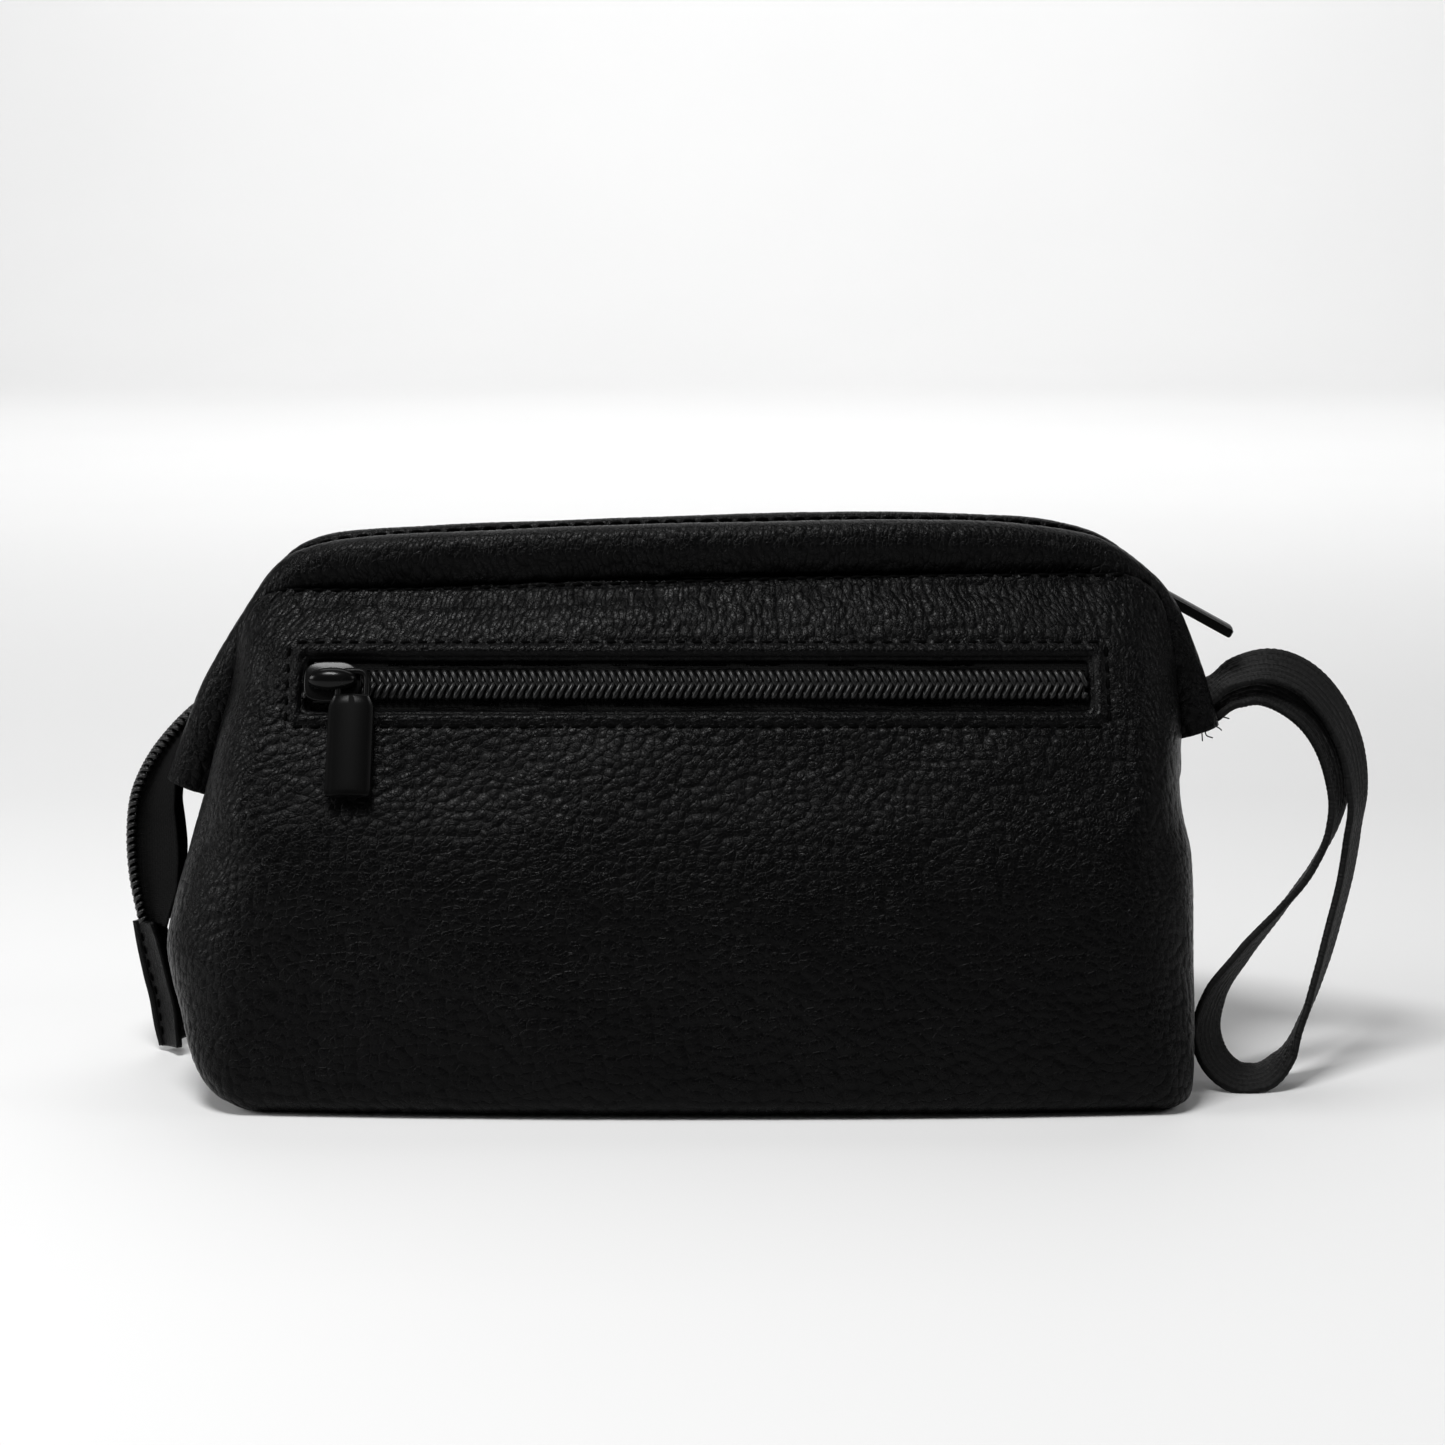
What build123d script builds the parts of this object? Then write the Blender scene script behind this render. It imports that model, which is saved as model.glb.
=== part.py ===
from build123d import *
import math
import os

# A soft leather makeup bag whose zipped mouth is carried by two hinged steel wire frames.
# Millimetres. X runs along the bag, -Y is its front, +Z is up. The origin is the middle of the
# underside of the base.

# ---- driving dimensions -----------------------------------------------------------------
leather = 1.6            # outer leather and its backing
lining = 0.6             # lining cloth
gap = 0.05               # layers lie this far apart
hinge_z = 72.0           # height of the rivets that the two mouth frames turn on
mouth_x = -3.5           # the middle of the mouth; the soft body leans a little to the left
mouth_half = 131.0       # half of the mouth's width at the height of the rivets
leg_slope = 0.36         # how fast the legs of the mouth lean in, mm across per mm up
mouth_top = 136.5        # crest of the rolled leather sleeves
corner_r = 28.0          # outer corner of the mouth
sleeve_depth = 11.5      # sleeve, measured in from its crest
valley = 5.9             # half of the gap between the sleeves, where the zip lies
sleeve_front = 12.0      # outer face of each sleeve
wire_r = 1.5             # mouth frame wire
wire_inset = 6.0         # wire centre, in from the crest
wire_y = 9.0             # wire centre, out from the middle of the bag
left_foot_z = 77.0       # lower end of the sleeves on the left
right_foot_z = 86.0      # lower end of the sleeves on the right

# the lower tub: height, left side, right side, half depth, corner radius
tub_sections = [
    (0.0, -113.0, 113.0, 53.0, 18.0),
    (10.0, -119.5, 116.5, 56.0, 20.0),
    (34.0, -137.5, 122.5, 56.5, 19.0),
    (66.0, -128.7, 121.7, 53.6, 14.0),
]
# the upper part of the bag that swings with the mouth
cap_sections = [
    (64.0, -123.0, 116.0, 47.4, 18.0),
    (86.0, -121.0, 114.5, 40.5, 16.0),
    (110.0, -115.5, 109.5, 26.5, 11.0),
    (124.5, -108.0, 103.0, 13.7, 5.0),
    (127.0, -107.0, 102.0, 13.65, 5.0),
]
lining_top_z = 121.0     # the upper lining stops here, under the sleeves
side_cut = 22.0          # the front and back panels wrap round the corners to here
board = 1.5              # stiffening board in the base

# hinge rivets and eyes
pin_r = 1.5
pin_play = 0.05
eye_r = 3.8
eye_t = 1.2
eye_x = 120.3            # wire leg, out from the middle of the mouth
arm_top_z = 84.0         # where each wire is flattened
arm_w = 5.0              # width of the flattened arm
rivet_head_r = 3.2
rivet_inner, rivet_outer = 115.9, 124.2   # ends of each rivet, out from the middle of the mouth
head_t = 1.3
tab_inner, tab_outer = 121.1, 122.8       # faces of the leather tab
tab_w, tab_len, tab_corner = 11.0, 34.0, 4.0
tab_drop = 12.0          # middle of the tab, below the rivet

# main zip
coil_half = 4.0          # half of the width of the closed coil
coil_t = 2.6
tape_t = 0.7
zip_top = 121.9          # upper face of the main coil
coil_side = 1.5          # main coil on the legs, in from the outer edge of the sleeves
row_gap = 0.15           # half of the gap between the two rows

# sliders and pullers
slider_len = 14.0
slider_half = 5.2
plate_t = 1.1
neck_half = 0.8
crown_half = 2.3
crown_t = 1.3
crown_reach = 5.8        # half of the crown's length
foot_w = 1.4             # square foot at the crown's tail end
post_r = 0.9             # round foot at its nose end
lower_t = 0.8            # the plate under the tapes
lower_len = 11.0
flange_clear = 0.3       # between the coil and a flange
puller_len = 32.0
puller_half = 5.5
puller_t = 2.8
ring_bar = 0.95          # radius of the round bar at the top of a puller
ring_inner = 2.6
ring_outer = 4.3
shoulder = 6.6           # a puller reaches full width this far below its bar
main_slider_x = 99.5
pin_x = 2.9              # bar of the main puller, along its slider
post_x = 4.9             # round foot of the crown, along the slider
nose_x = 1.8             # the slider's narrow nose starts here
zip_end_x = 104.5        # closed end of the main coil
main_droop = 28.7        # the main puller lies this far below level

# front pocket, whose zip lies in the leaning upper front panel
pocket_z = 101.0
window_left, window_right, window_half = -99.0, 92.5, 7.1
pocket_slider_x = -91.5
pouch_foot_z = 70.0
pouch_t = 8.0

# wrist strap and the free tail of the main zip
strap_w = 11.0
strap_t = 2.2            # one layer
fold_gap = 0.4           # between the strap's two layers where they lie together


def section(z, left, right, half, radius, inset=0.0):
    """A rounded rectangle across the bag at height z."""
    width = right - left - 2 * inset
    face = RectangleRounded(width, 2 * (half - inset), max(radius - inset, 2.0))
    return Pos((left + right) / 2, 0, z) * face


def hull(sections, inset=0.0):
    """The closed shape through a list of sections."""
    return loft([section(*s, inset=inset) for s in sections], ruled=True)


def block(x0, x1, y0, y1, z0, z1):
    """A box between two corners."""
    return Pos((x0 + x1) / 2, (y0 + y1) / 2, (z0 + z1) / 2) * Box(x1 - x0, y1 - y0, z1 - z0)


def arch_face(top_z, side_inset, foot_z, radius):
    """The outline of the mouth, flat on top with leaning legs, as a face in X and Z."""
    shift = side_inset * math.hypot(1.0, leg_slope)
    foot = mouth_half - (foot_z - hinge_z) * leg_slope - shift
    head = mouth_half - (top_z - hinge_z) * leg_slope - shift
    line = Polyline((-foot, foot_z), (-head, top_z), (head, top_z), (foot, foot_z), close=True)
    face = make_face(line)
    corners = face.vertices().sort_by(Axis.Y)[-2:]
    return Pos(mouth_x, 0) * fillet(corners, radius)


def arch_slab(face, y0, y1):
    """An arch outline given thickness from y0 to y1."""
    return extrude(Plane.XZ.offset(-y1) * face, amount=y1 - y0)


def mirror_y(solid, side):
    """The same piece on the front (-1) or the back (+1)."""
    return solid if side < 0 else mirror(solid, about=Plane.XZ)


# ---- lower tub --------------------------------------------------------------------------
def make_tub():
    outer = hull(tub_sections)
    inner = hull(tub_sections, leather)
    walls = outer - inner
    wide, low, high = 300.0, leather + gap, 100.0
    upright = block(-wide, wide, -wide, wide, low, high)
    front = walls & upright & block(-wide, wide, -wide, -side_cut - gap, 0, high)
    back = walls & upright & block(-wide, wide, side_cut + gap, wide, 0, high)
    left = walls & upright & block(-wide, 0, -side_cut, side_cut, 0, high)
    right = walls & upright & block(0, wide, -side_cut, side_cut, 0, high)
    base = outer & block(-wide, wide, -wide, wide, 0, leather)
    return front, back, left, right, base


def make_tub_lining():
    outer = hull(tub_sections, leather + gap)
    inner = hull(tub_sections, leather + gap + lining)
    floor = leather + board + 3 * gap
    shell = outer - (inner & block(-300, 300, -300, 300, floor + lining, 100))
    return shell & block(-300, 300, -300, 300, floor, 100)


def make_board():
    inner = hull(tub_sections, leather + gap + 1.5)
    bottom = leather + 2 * gap
    return inner & block(-300, 300, -300, 300, bottom, bottom + board)


# ---- swinging upper halves --------------------------------------------------------------
def cap_trim(side, top_z):
    """The space that one swinging half may fill: one side of the bag, above the tub's rim."""
    edge = Polyline((-70, 68.2), (-sleeve_front, 74.0), (-sleeve_front, top_z), (-70, top_z), close=True)
    wedge = extrude(Plane.YZ.offset(-200) * make_face(edge), amount=400)
    return mirror_y(wedge, side)


def make_cap(side, inset, thickness, top_z=mouth_top):
    outer = hull(cap_sections, inset)
    inner = hull(cap_sections, inset + thickness)
    return (outer - inner) & cap_trim(side, top_z)


def pocket_plane():
    """X along the bag, Y up the slope of the upper front panel and Z out of its face."""
    low, high = cap_sections[1], cap_sections[2]
    run, rise = low[3] - high[3], high[0] - low[0]
    y = -low[3] + run * (pocket_z - low[0]) / rise
    return Plane(origin=(0, y, pocket_z), x_dir=(1, 0, 0), z_dir=(0, -rise, run))


def make_window():
    return pocket_plane() * block(window_left, window_right, -window_half, window_half, -8, 8)


# ---- mouth sleeves and frame wires ------------------------------------------------------
def wire_path(foot_z):
    """Centre line of a mouth frame wire in the plane of the front frame."""
    shift = wire_inset * math.hypot(1.0, leg_slope)
    top_z = mouth_top - wire_inset
    foot = mouth_half - (foot_z - hinge_z) * leg_slope - shift
    head = mouth_half - (top_z - hinge_z) * leg_slope - shift
    points = [(-foot, foot_z), (-head, top_z), (head, top_z), (foot, foot_z)]
    route = [(mouth_x + x, -wire_y, z) for x, z in points]
    return FilletPolyline(*route, radius=corner_r - wire_inset)


def wire_rod(radius, foot_z):
    path = wire_path(foot_z)
    return sweep(Plane(origin=path @ 0, z_dir=path % 0) * Circle(radius), path=path)


def make_eye(side, sign):
    """The flattened and pierced end of a wire, on the left (-1) or the right (+1)."""
    reach = math.hypot(wire_y, arm_top_z - hinge_z)
    turn = math.degrees(math.atan2(arm_top_z - hinge_z, -wire_y))
    arm = Pos(-wire_y / 2, (arm_top_z + hinge_z) / 2) * SlotCenterToCenter(reach, arm_w, rotation=turn)
    face = arm + Pos(0, hinge_z) * Circle(eye_r) - Pos(0, hinge_z) * Circle(pin_r + pin_play)
    inner = eye_x - eye_t / 2 if side < 0 else eye_x - eye_t / 2 - eye_t - 0.2
    start = mouth_x + sign * inner if sign > 0 else mouth_x - inner - eye_t
    return extrude(Plane.YZ.offset(start) * face, amount=eye_t)


def make_frame_wire(side):
    rod = wire_rod(wire_r, arm_top_z)
    for sign in (-1, 1):
        eye = make_eye(side, sign)
        rod = rod + eye
    return mirror_y(rod, side)


def make_sleeve(side):
    outer = arch_face(mouth_top, 0, left_foot_z, corner_r)
    inner = arch_face(mouth_top - sleeve_depth, sleeve_depth, left_foot_z - 20, corner_r - sleeve_depth)
    body = arch_slab(outer, -sleeve_front, -valley) - arch_slab(inner, -20, 0)
    body -= wire_rod(wire_r + gap, left_foot_z - 4)
    for sign in (-1, 1):
        middle = mouth_x + sign * (eye_x - 0.7)
        body -= block(middle - 2.4, middle + 2.4, -20, 0, 60, arm_top_z + 3.0)
    body -= block(90, 200, -20, 0, 60, right_foot_z)
    return mirror_y(body, side)


def make_rivet(sign):
    """A hinge rivet through its tab and both eyes, with a head at each end."""
    def ring(a, b, radius):
        low, high = sorted((mouth_x + sign * a, mouth_x + sign * b))
        return Plane.YZ.offset(low) * Pos(0, hinge_z) * extrude(Circle(radius), amount=high - low)
    shank = ring(rivet_inner + 1.0, rivet_outer, pin_r)
    inner_head = ring(rivet_inner, rivet_inner + head_t - 0.1, rivet_head_r)
    return shank + inner_head + ring(rivet_outer - head_t, rivet_outer, rivet_head_r)


def make_hinge_tab(sign):
    """The leather tab inside each end of the tub that the rivet is set in."""
    low, high = sorted((mouth_x + sign * tab_inner, mouth_x + sign * tab_outer))
    strip = RectangleRounded(tab_w, tab_len, tab_corner)
    face = Pos(0, hinge_z - tab_drop) * strip - Pos(0, hinge_z) * Circle(pin_r)
    return extrude(Plane.YZ.offset(low) * face, amount=high - low)


# ---- main zip ---------------------------------------------------------------------------
def make_main_row(side, top, bottom, side_in, side_out, reach):
    """One row of the main coil or tape: along the valley and down the left leg."""
    outer = arch_face(top, side_in, left_foot_z, 5.0)
    inner = arch_face(bottom, side_out, left_foot_z - 20, 3.0)
    row = arch_slab(outer, -reach, -row_gap) - arch_slab(inner, -20, 20)
    row &= block(-200, zip_end_x, -20, 20, 94.0, 140)
    row -= block(main_slider_x + 2.0, 115, -neck_half - 0.3, 1, 110, 130)
    return mirror_y(row, side)


# ---- sliders and pullers ----------------------------------------------------------------
def make_slider():
    """A slider in its own frame: X along the zip, Z out of it, zero at the middle of the coil.

    It has a top plate with folded flanges, a neck between the two rows, a lower plate under
    the tapes, and a crown on two feet, of which one is a round post.
    """
    top = coil_t / 2 + 0.25
    under = -coil_t / 2 - tape_t - 0.45
    half = slider_len / 2
    wide = half + nose_x
    plate = Pos(nose_x - wide / 2, 0) * RectangleRounded(wide, 2 * slider_half, 2.5)
    plate += Pos(half - 3.5, 0) * RectangleRounded(7.0 - 0.6, 2 * crown_half, 1.5)
    body = Pos(0, 0, top) * extrude(plate, amount=plate_t)
    for s in (-1, 1):
        y0, y1 = sorted((s * (coil_half + flange_clear), s * slider_half))
        body += block(-half + 2.5, nose_x - 2.5, y0, y1, -coil_t / 2 + 0.1, top + 0.2)
    lower = RectangleRounded(lower_len, 2 * slider_half - 1, 3.0)
    body += Pos(-0.5, 0, under - lower_t) * extrude(lower, amount=lower_t)
    body += block(3.4, 4.9, -neck_half, neck_half, under - 0.2, top + 0.2)
    deck = top + plate_t
    under_bar = deck + 2 * ring_bar + 0.3
    body += block(-crown_reach, crown_reach, -crown_half, crown_half, under_bar, under_bar + crown_t)
    body += block(-crown_reach, foot_w - crown_reach, -crown_half, crown_half, deck - 0.2, under_bar + 0.2)
    body += Pos(post_x, 0, deck - 0.2) * extrude(Circle(post_r), amount=under_bar - deck + 0.4)
    long_edges = body.edges().filter_by(Axis.X).group_by(Axis.Z)[-1]
    return fillet(long_edges, 0.6)


def make_puller():
    """A puller in its own frame: its round bar along X at the origin, its length along -Y."""
    bar = Pos(-ring_outer, 0, 0) * Rot(0, 90, 0) * extrude(Circle(ring_bar), amount=2 * ring_outer)
    ring = extrude(Pos(0, -4.2) * Rectangle(2 * ring_outer, 8.4), amount=ring_bar, both=True)
    slot = extrude(Pos(0, -2.6) * Rectangle(2 * ring_inner, 5.2 - 0.2), amount=5, both=True)
    outline = Polyline(
        (-ring_outer, 0.6 - shoulder), (ring_outer, 0.6 - shoulder), (puller_half, -2.2 - shoulder),
        (puller_half, -puller_len), (-puller_half, -puller_len), (-puller_half, -2.2 - shoulder),
        close=True)
    grip = Pos(0, 0, -ring_bar) * extrude(make_face(outline), amount=puller_t)
    grip = chamfer(grip.faces().sort_by(Axis.Z)[-1].edges(), 0.7)
    return bar + (ring - slot) + grip


def main_slider_place():
    return Location((main_slider_x, 0, zip_top - coil_t / 2))


def main_puller_place():
    pin_z = zip_top + 0.25 + plate_t + ring_bar + 0.15
    pin = Location((main_slider_x + pin_x, 0, pin_z))
    return pin * Location((0, 0, 0), (0, main_droop, 0)) * Location((0, 0, 0), (0, 0, 90))


def pocket_slider_place():
    return pocket_plane().location * Location((pocket_slider_x, 0, coil_lift()))


def coil_lift():
    """Middle of the pocket coil above the face of the panel."""
    return -0.65


def pocket_puller_place():
    """The ring of the pocket puller hangs on the slider's round foot."""
    deck = coil_lift() + coil_t / 2 + 0.25 + plate_t
    drop = ring_bar + 0.95
    return pocket_plane().location * Location((pocket_slider_x + post_x, drop, deck + ring_bar + 0.15))


# ---- front pocket -----------------------------------------------------------------------
def make_pocket_rows(s):
    """One coil row and one tape of the pocket zip, above (+1) or below (-1) its middle."""
    lift = coil_lift()
    y0, y1 = sorted((s * row_gap, s * coil_half))
    coil = block(window_left + 1.4, window_right - 1.4, y0, y1, lift - coil_t / 2, lift + coil_t / 2)
    y0, y1 = sorted((s * row_gap, s * (window_half + 2.4)))
    top = lift - coil_t / 2 - gap
    tape = block(window_left - 2, window_right + 2, y0, y1, top - tape_t, top)
    tape -= block(-300, 300, -20, -coil_half - 0.1, 0, 0.1)
    room = block(pocket_slider_x + 3.2, pocket_slider_x + 5.1, -neck_half - 0.2, neck_half + 0.2, -9, 9)
    return pocket_plane() * (coil - room), pocket_plane() * (tape - room)


def make_pocket_welt():
    outer = block(window_left + gap, window_right - gap, gap - window_half, window_half - gap, -1.3, 0.6)
    hole = block(window_left + 1.2, window_right - 1.2, 1.2 - window_half, window_half - 1.2, -5, 5)
    return pocket_plane() * (outer - hole)


def make_pouch():
    """The pocket bag behind the window, open towards the zip."""
    plane = pocket_plane()
    head, knee, front = window_half + 2.6, 14.0, -3.9
    upper = [plane.from_local_coords((0, y, front)) for y in (head, -knee)]
    lower = [plane.from_local_coords((0, y, front - pouch_t)) for y in (2 - knee, head)]
    outline = [(p.Y, p.Z) for p in upper] + [(-41.8, pouch_foot_z), (-33.8, pouch_foot_z)]
    outline += [(p.Y, p.Z) for p in lower]
    face = make_face(Polyline(*outline, close=True))
    inner = offset(face, amount=-0.6, kind=Kind.INTERSECTION)
    x0, x1 = window_left - 2.0, window_right + 2.0
    shell = extrude(Plane.YZ.offset(x0) * face, amount=x1 - x0)
    shell -= extrude(Plane.YZ.offset(x0 + 0.6) * inner, amount=x1 - x0 - 1.2)
    way_in = block(x0 + 0.6, x1 - 0.6, -window_half - 2.4, head - 0.6, front - 1, front + 1)
    return shell - plane * way_in


# ---- wrist strap and zip tail -----------------------------------------------------------
def unit(v):
    return v.normalized()


def ribbon(points, widths, thickness):
    """A flat strap along a line of points, whose width lies along the given directions."""
    faces = []
    for i, point in enumerate(points):
        here = Vector(*point)
        before = Vector(*points[max(i - 1, 0)])
        after = Vector(*points[min(i + 1, len(points) - 1)])
        along = unit(after - before)
        across = Vector(*widths[i])
        across = unit(across - along * across.dot(along))
        plane = Plane(origin=here, x_dir=across, z_dir=along)
        faces.append(plane * Rectangle(strap_w, thickness))
    return loft(faces, ruled=True)


strap_top = [(125.0, -1, 93.5), (131.5, -1, 97.0), (141, -1, 98.5), (149, -1, 95.5), (155, -2, 89),
             (160, -3, 79), (161.5, -5, 68), (160.5, -7, 58)]
strap_outer = [(161.2, -6, 62), (160, -9, 50), (157, -13, 39), (152.5, -20, 26), (147.5, -26, 15),
               (141, -31, 6.8), (134, -33.5, 3.6)]
strap_inner = [(158.6, -6, 62), (154, -9.5, 50), (147, -14, 40), (138, -20, 30), (131, -25, 21),
               (128, -29, 11.5), (130, -33, 5.0), (134, -33.5, 3.6)]


def fan(count, first, last):
    """Directions turning evenly from first to last."""
    steps = [i / (count - 1) for i in range(count)]
    return [tuple(a + (b - a) * t for a, b in zip(first, last)) for t in steps]


def make_strap():
    high, low = (0.45, 0.7, 0.55), (0.2, 0.95, 0.05)
    middle = (0.4, 0.8, 0.3)
    both = ribbon(strap_top, fan(len(strap_top), high, middle), 2 * strap_t + fold_gap)
    outer = ribbon(strap_outer, fan(len(strap_outer), middle, low), strap_t)
    inner = ribbon(strap_inner, fan(len(strap_inner), middle, low), strap_t)
    return both + outer + inner


def make_strap_anchor():
    """The strap's sewn end and its backing, between the two sleeves at the right end."""
    return block(112.0, 121.0, -4.8, 4.8, 88.0, 98.0)


def make_tail_root():
    """The end of the zip tapes where the tail leaves the mouth on the left."""
    return block(-126.5, -118.0, -4.6, 4.6, 84.0, 93.0)


# the tail: points down its coil, then width, thickness and how far inside the coil it lies
tail_line = [(-131.0, 0, 90.0), (-137, 0, 84.0), (-142.5, 0, 77), (-146.8, 0, 68), (-148.2, 0, 58),
             (-148.0, 0, 46), (-145.8, 0, 34.5)]
coil_sizes = [(2 * coil_half, coil_t, 1.3)] * len(tail_line)
tape_sizes = [(9, 0.8, 3.1), (10.5, 2.5, 4.0), (13, 5.0, 5.2), (14, 5.8, 5.6), (14, 5.8, 5.6),
              (14, 5.0, 5.2), (13, 4.0, 4.8)]
tab_line = [(-145.6, 0, 33.6), (-143.8, 0, 20), (-140.5, 0, 1.2)]
tab_sizes = [(12, 4.6, 3.0), (12, 6.5, 4.0), (12, 5.0, 3.2)]


def tail_solid(points, sizes):
    """A strip down the tail, of changing width and thickness, moved inwards from its line."""
    faces = []
    for i, point in enumerate(points):
        before = Vector(*points[max(i - 1, 0)])
        after = Vector(*points[min(i + 1, len(points) - 1)])
        along = unit(after - before)
        inward = unit(Vector(0, 1, 0).cross(along)) * -1
        width, thickness, inside = sizes[i]
        plane = Plane(origin=Vector(*point) + inward * inside, x_dir=(0, 1, 0), z_dir=along)
        faces.append(plane * Rectangle(width, thickness))
    return loft(faces, ruled=True)


def make_parts():
    front, back, left, right, base = make_tub()
    window = make_window()
    parts = {
        "front_lower_panel": front,
        "back_lower_panel": back,
        "left_gusset": left,
        "right_gusset": right,
        "base_panel": base,
        "base_board": make_board(),
        "lower_lining": make_tub_lining(),
        "front_upper_panel": make_cap(-1, 0.0, leather) - window,
        "back_upper_panel": make_cap(1, 0.0, leather),
        "front_upper_lining": make_cap(-1, leather + gap, lining, lining_top_z) - window,
        "back_upper_lining": make_cap(1, leather + gap, lining, lining_top_z),
    }
    coil_low = zip_top - coil_t
    for side, name in ((-1, "front"), (1, "back")):
        parts[name + "_sleeve"] = make_sleeve(side)
        parts[name + "_frame_wire"] = make_frame_wire(side)
        parts[name + "_zip_coil"] = make_main_row(
            side, zip_top, coil_low, coil_side, coil_side + coil_t, coil_half)
        parts[name + "_zip_tape"] = make_main_row(
            side, coil_low - gap, coil_low - gap - tape_t, coil_side + coil_t + gap,
            coil_side + coil_t + gap + tape_t, valley - gap)
    for sign, name in ((-1, "left"), (1, "right")):
        parts["hinge_rivet_" + name] = make_rivet(sign)
        parts["hinge_tab_" + name] = make_hinge_tab(sign)
    for s, name in ((1, "upper"), (-1, "lower")):
        coil, tape = make_pocket_rows(s)
        parts["pocket_coil_" + name] = coil
        parts["pocket_tape_" + name] = tape
    parts["pocket_welt"] = make_pocket_welt()
    parts["pocket_pouch"] = make_pouch()
    parts["main_slider"] = main_slider_place() * make_slider()
    parts["main_puller"] = main_puller_place() * make_puller()
    parts["pocket_slider"] = pocket_slider_place() * make_slider()
    parts["pocket_puller"] = pocket_puller_place() * make_puller()
    parts["wrist_strap"] = make_strap()
    parts["strap_anchor"] = make_strap_anchor()
    parts["tail_root"] = make_tail_root()
    parts["tail_coil"] = tail_solid(tail_line, coil_sizes)
    parts["tail_tape"] = tail_solid(tail_line, tape_sizes)
    parts["tail_tab"] = tail_solid(tab_line, tab_sizes)
    return parts


os.makedirs("parts", exist_ok=True)
for node, solid in make_parts().items():
    export_step(solid, "parts/" + node + ".step")
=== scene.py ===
import math

import bmesh
import bpy
import numpy as np
from mathutils import Matrix, Vector, noise


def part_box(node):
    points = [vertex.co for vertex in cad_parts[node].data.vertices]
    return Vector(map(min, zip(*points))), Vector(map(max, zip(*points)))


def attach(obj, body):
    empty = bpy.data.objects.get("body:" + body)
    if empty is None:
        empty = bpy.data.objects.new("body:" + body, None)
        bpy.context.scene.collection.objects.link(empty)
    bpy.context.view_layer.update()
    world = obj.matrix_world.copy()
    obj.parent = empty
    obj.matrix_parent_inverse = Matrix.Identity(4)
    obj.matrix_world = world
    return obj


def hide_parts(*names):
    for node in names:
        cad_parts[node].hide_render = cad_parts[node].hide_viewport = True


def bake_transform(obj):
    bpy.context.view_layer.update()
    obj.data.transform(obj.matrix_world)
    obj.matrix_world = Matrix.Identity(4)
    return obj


# The looks of a soft black leather makeup bag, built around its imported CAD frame.
# Shapes are worked out in millimetres and written to Blender in metres.

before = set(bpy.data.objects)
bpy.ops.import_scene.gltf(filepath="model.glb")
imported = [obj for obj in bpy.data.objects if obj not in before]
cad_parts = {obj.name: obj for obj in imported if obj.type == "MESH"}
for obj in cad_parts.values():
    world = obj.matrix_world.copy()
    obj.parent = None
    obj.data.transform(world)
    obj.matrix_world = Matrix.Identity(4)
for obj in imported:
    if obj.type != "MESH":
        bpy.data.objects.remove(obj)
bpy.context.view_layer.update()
MM = 0.001

# ---- driving dimensions, in millimetres --------------------------------------------------
GRID = 0.78                      # spacing of the points of the leather panels
PANEL_TOP = 124.5                # nominal height of the seam between panel and mouth band
SIDE_SEAM = 22.0                 # front and back panels wrap round the corners to here
POCKET_Z, POCKET_Y = 101.0, -31.75
SLOPE = np.array([0.0, 0.5038710, 0.8637789])     # up the leaning upper panel
FACING = np.array([0.0, -0.8637789, 0.5038710])   # out of its face
WINDOW_LEFT, WINDOW_RIGHT, WINDOW_HALF = -99.0, 92.5, 7.1
STITCH_OUT = 3.9                 # pocket stitches, out from the edge of the window
ZIP_TOP = 121.9                  # upper face of the main coil
COIL_HALF, COIL_T = 4.0, 2.6
COIL_PITCH = 1.93
COIL_WIRE = 0.62                 # radius of the coil's wire
COIL_LEAN = 0.24                 # slant of each turn across the zip
TAPE_T = 0.7                     # thickness of the zip tapes
STITCH = {"radius": 0.42, "lift": 0.12}
COIL_STITCH = {"radius": 0.22, "lift": 0.3}
X_AXIS, Y_AXIS, Z_AXIS = np.eye(3)

# the outline of the bag at each height: left side, right side, half depth, corner radius
LEFT = [(0, -115.4), (6, -122.2), (15, -126.8), (22, -129.2), (30, -131.8), (38, -133.1), (48, -131.7),
        (60, -128.4), (71, -125.6), (86, -121.9), (98.6, -118.3), (108.8, -116.4), (116.3, -114.4),
        (121.5, -111.6), (124.0, -107.5), (PANEL_TOP, -103.5)]
RIGHT = [(0, 114.9), (3, 116.5), (13, 117.4), (26, 118.3), (46, 118.6), (58, 118.2), (68.6, 116.8),
         (79, 116.3), (86, 116.3), (97, 115.2), (106, 114.0), (113.4, 112.7), (118.5, 111.2), (121.8, 108.2),
         (123.8, 104.2), (PANEL_TOP, 99.5)]
DEPTH = [(0, 53.2), (2.5, 55.0), (10, 56.0), (34, 56.4), (50, 54.6), (66, 50.3), (78, 44.6), (88, 39.3),
         (101, 31.75), (110, 26.5), (118, 20.4), (122, 16.4), (PANEL_TOP, 14.1)]
CORNER = [(0, 7), (10, 11), (34, 22), (60, 25), (86, 18), (110, 12), (PANEL_TOP, 3)]
SEAM_TOP = [(-110, 121.8), (-82, 122.0), (-27, 123.8), (34, 125.5), (66, 125.9), (97, 126.0), (110, 126.0)]

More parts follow.
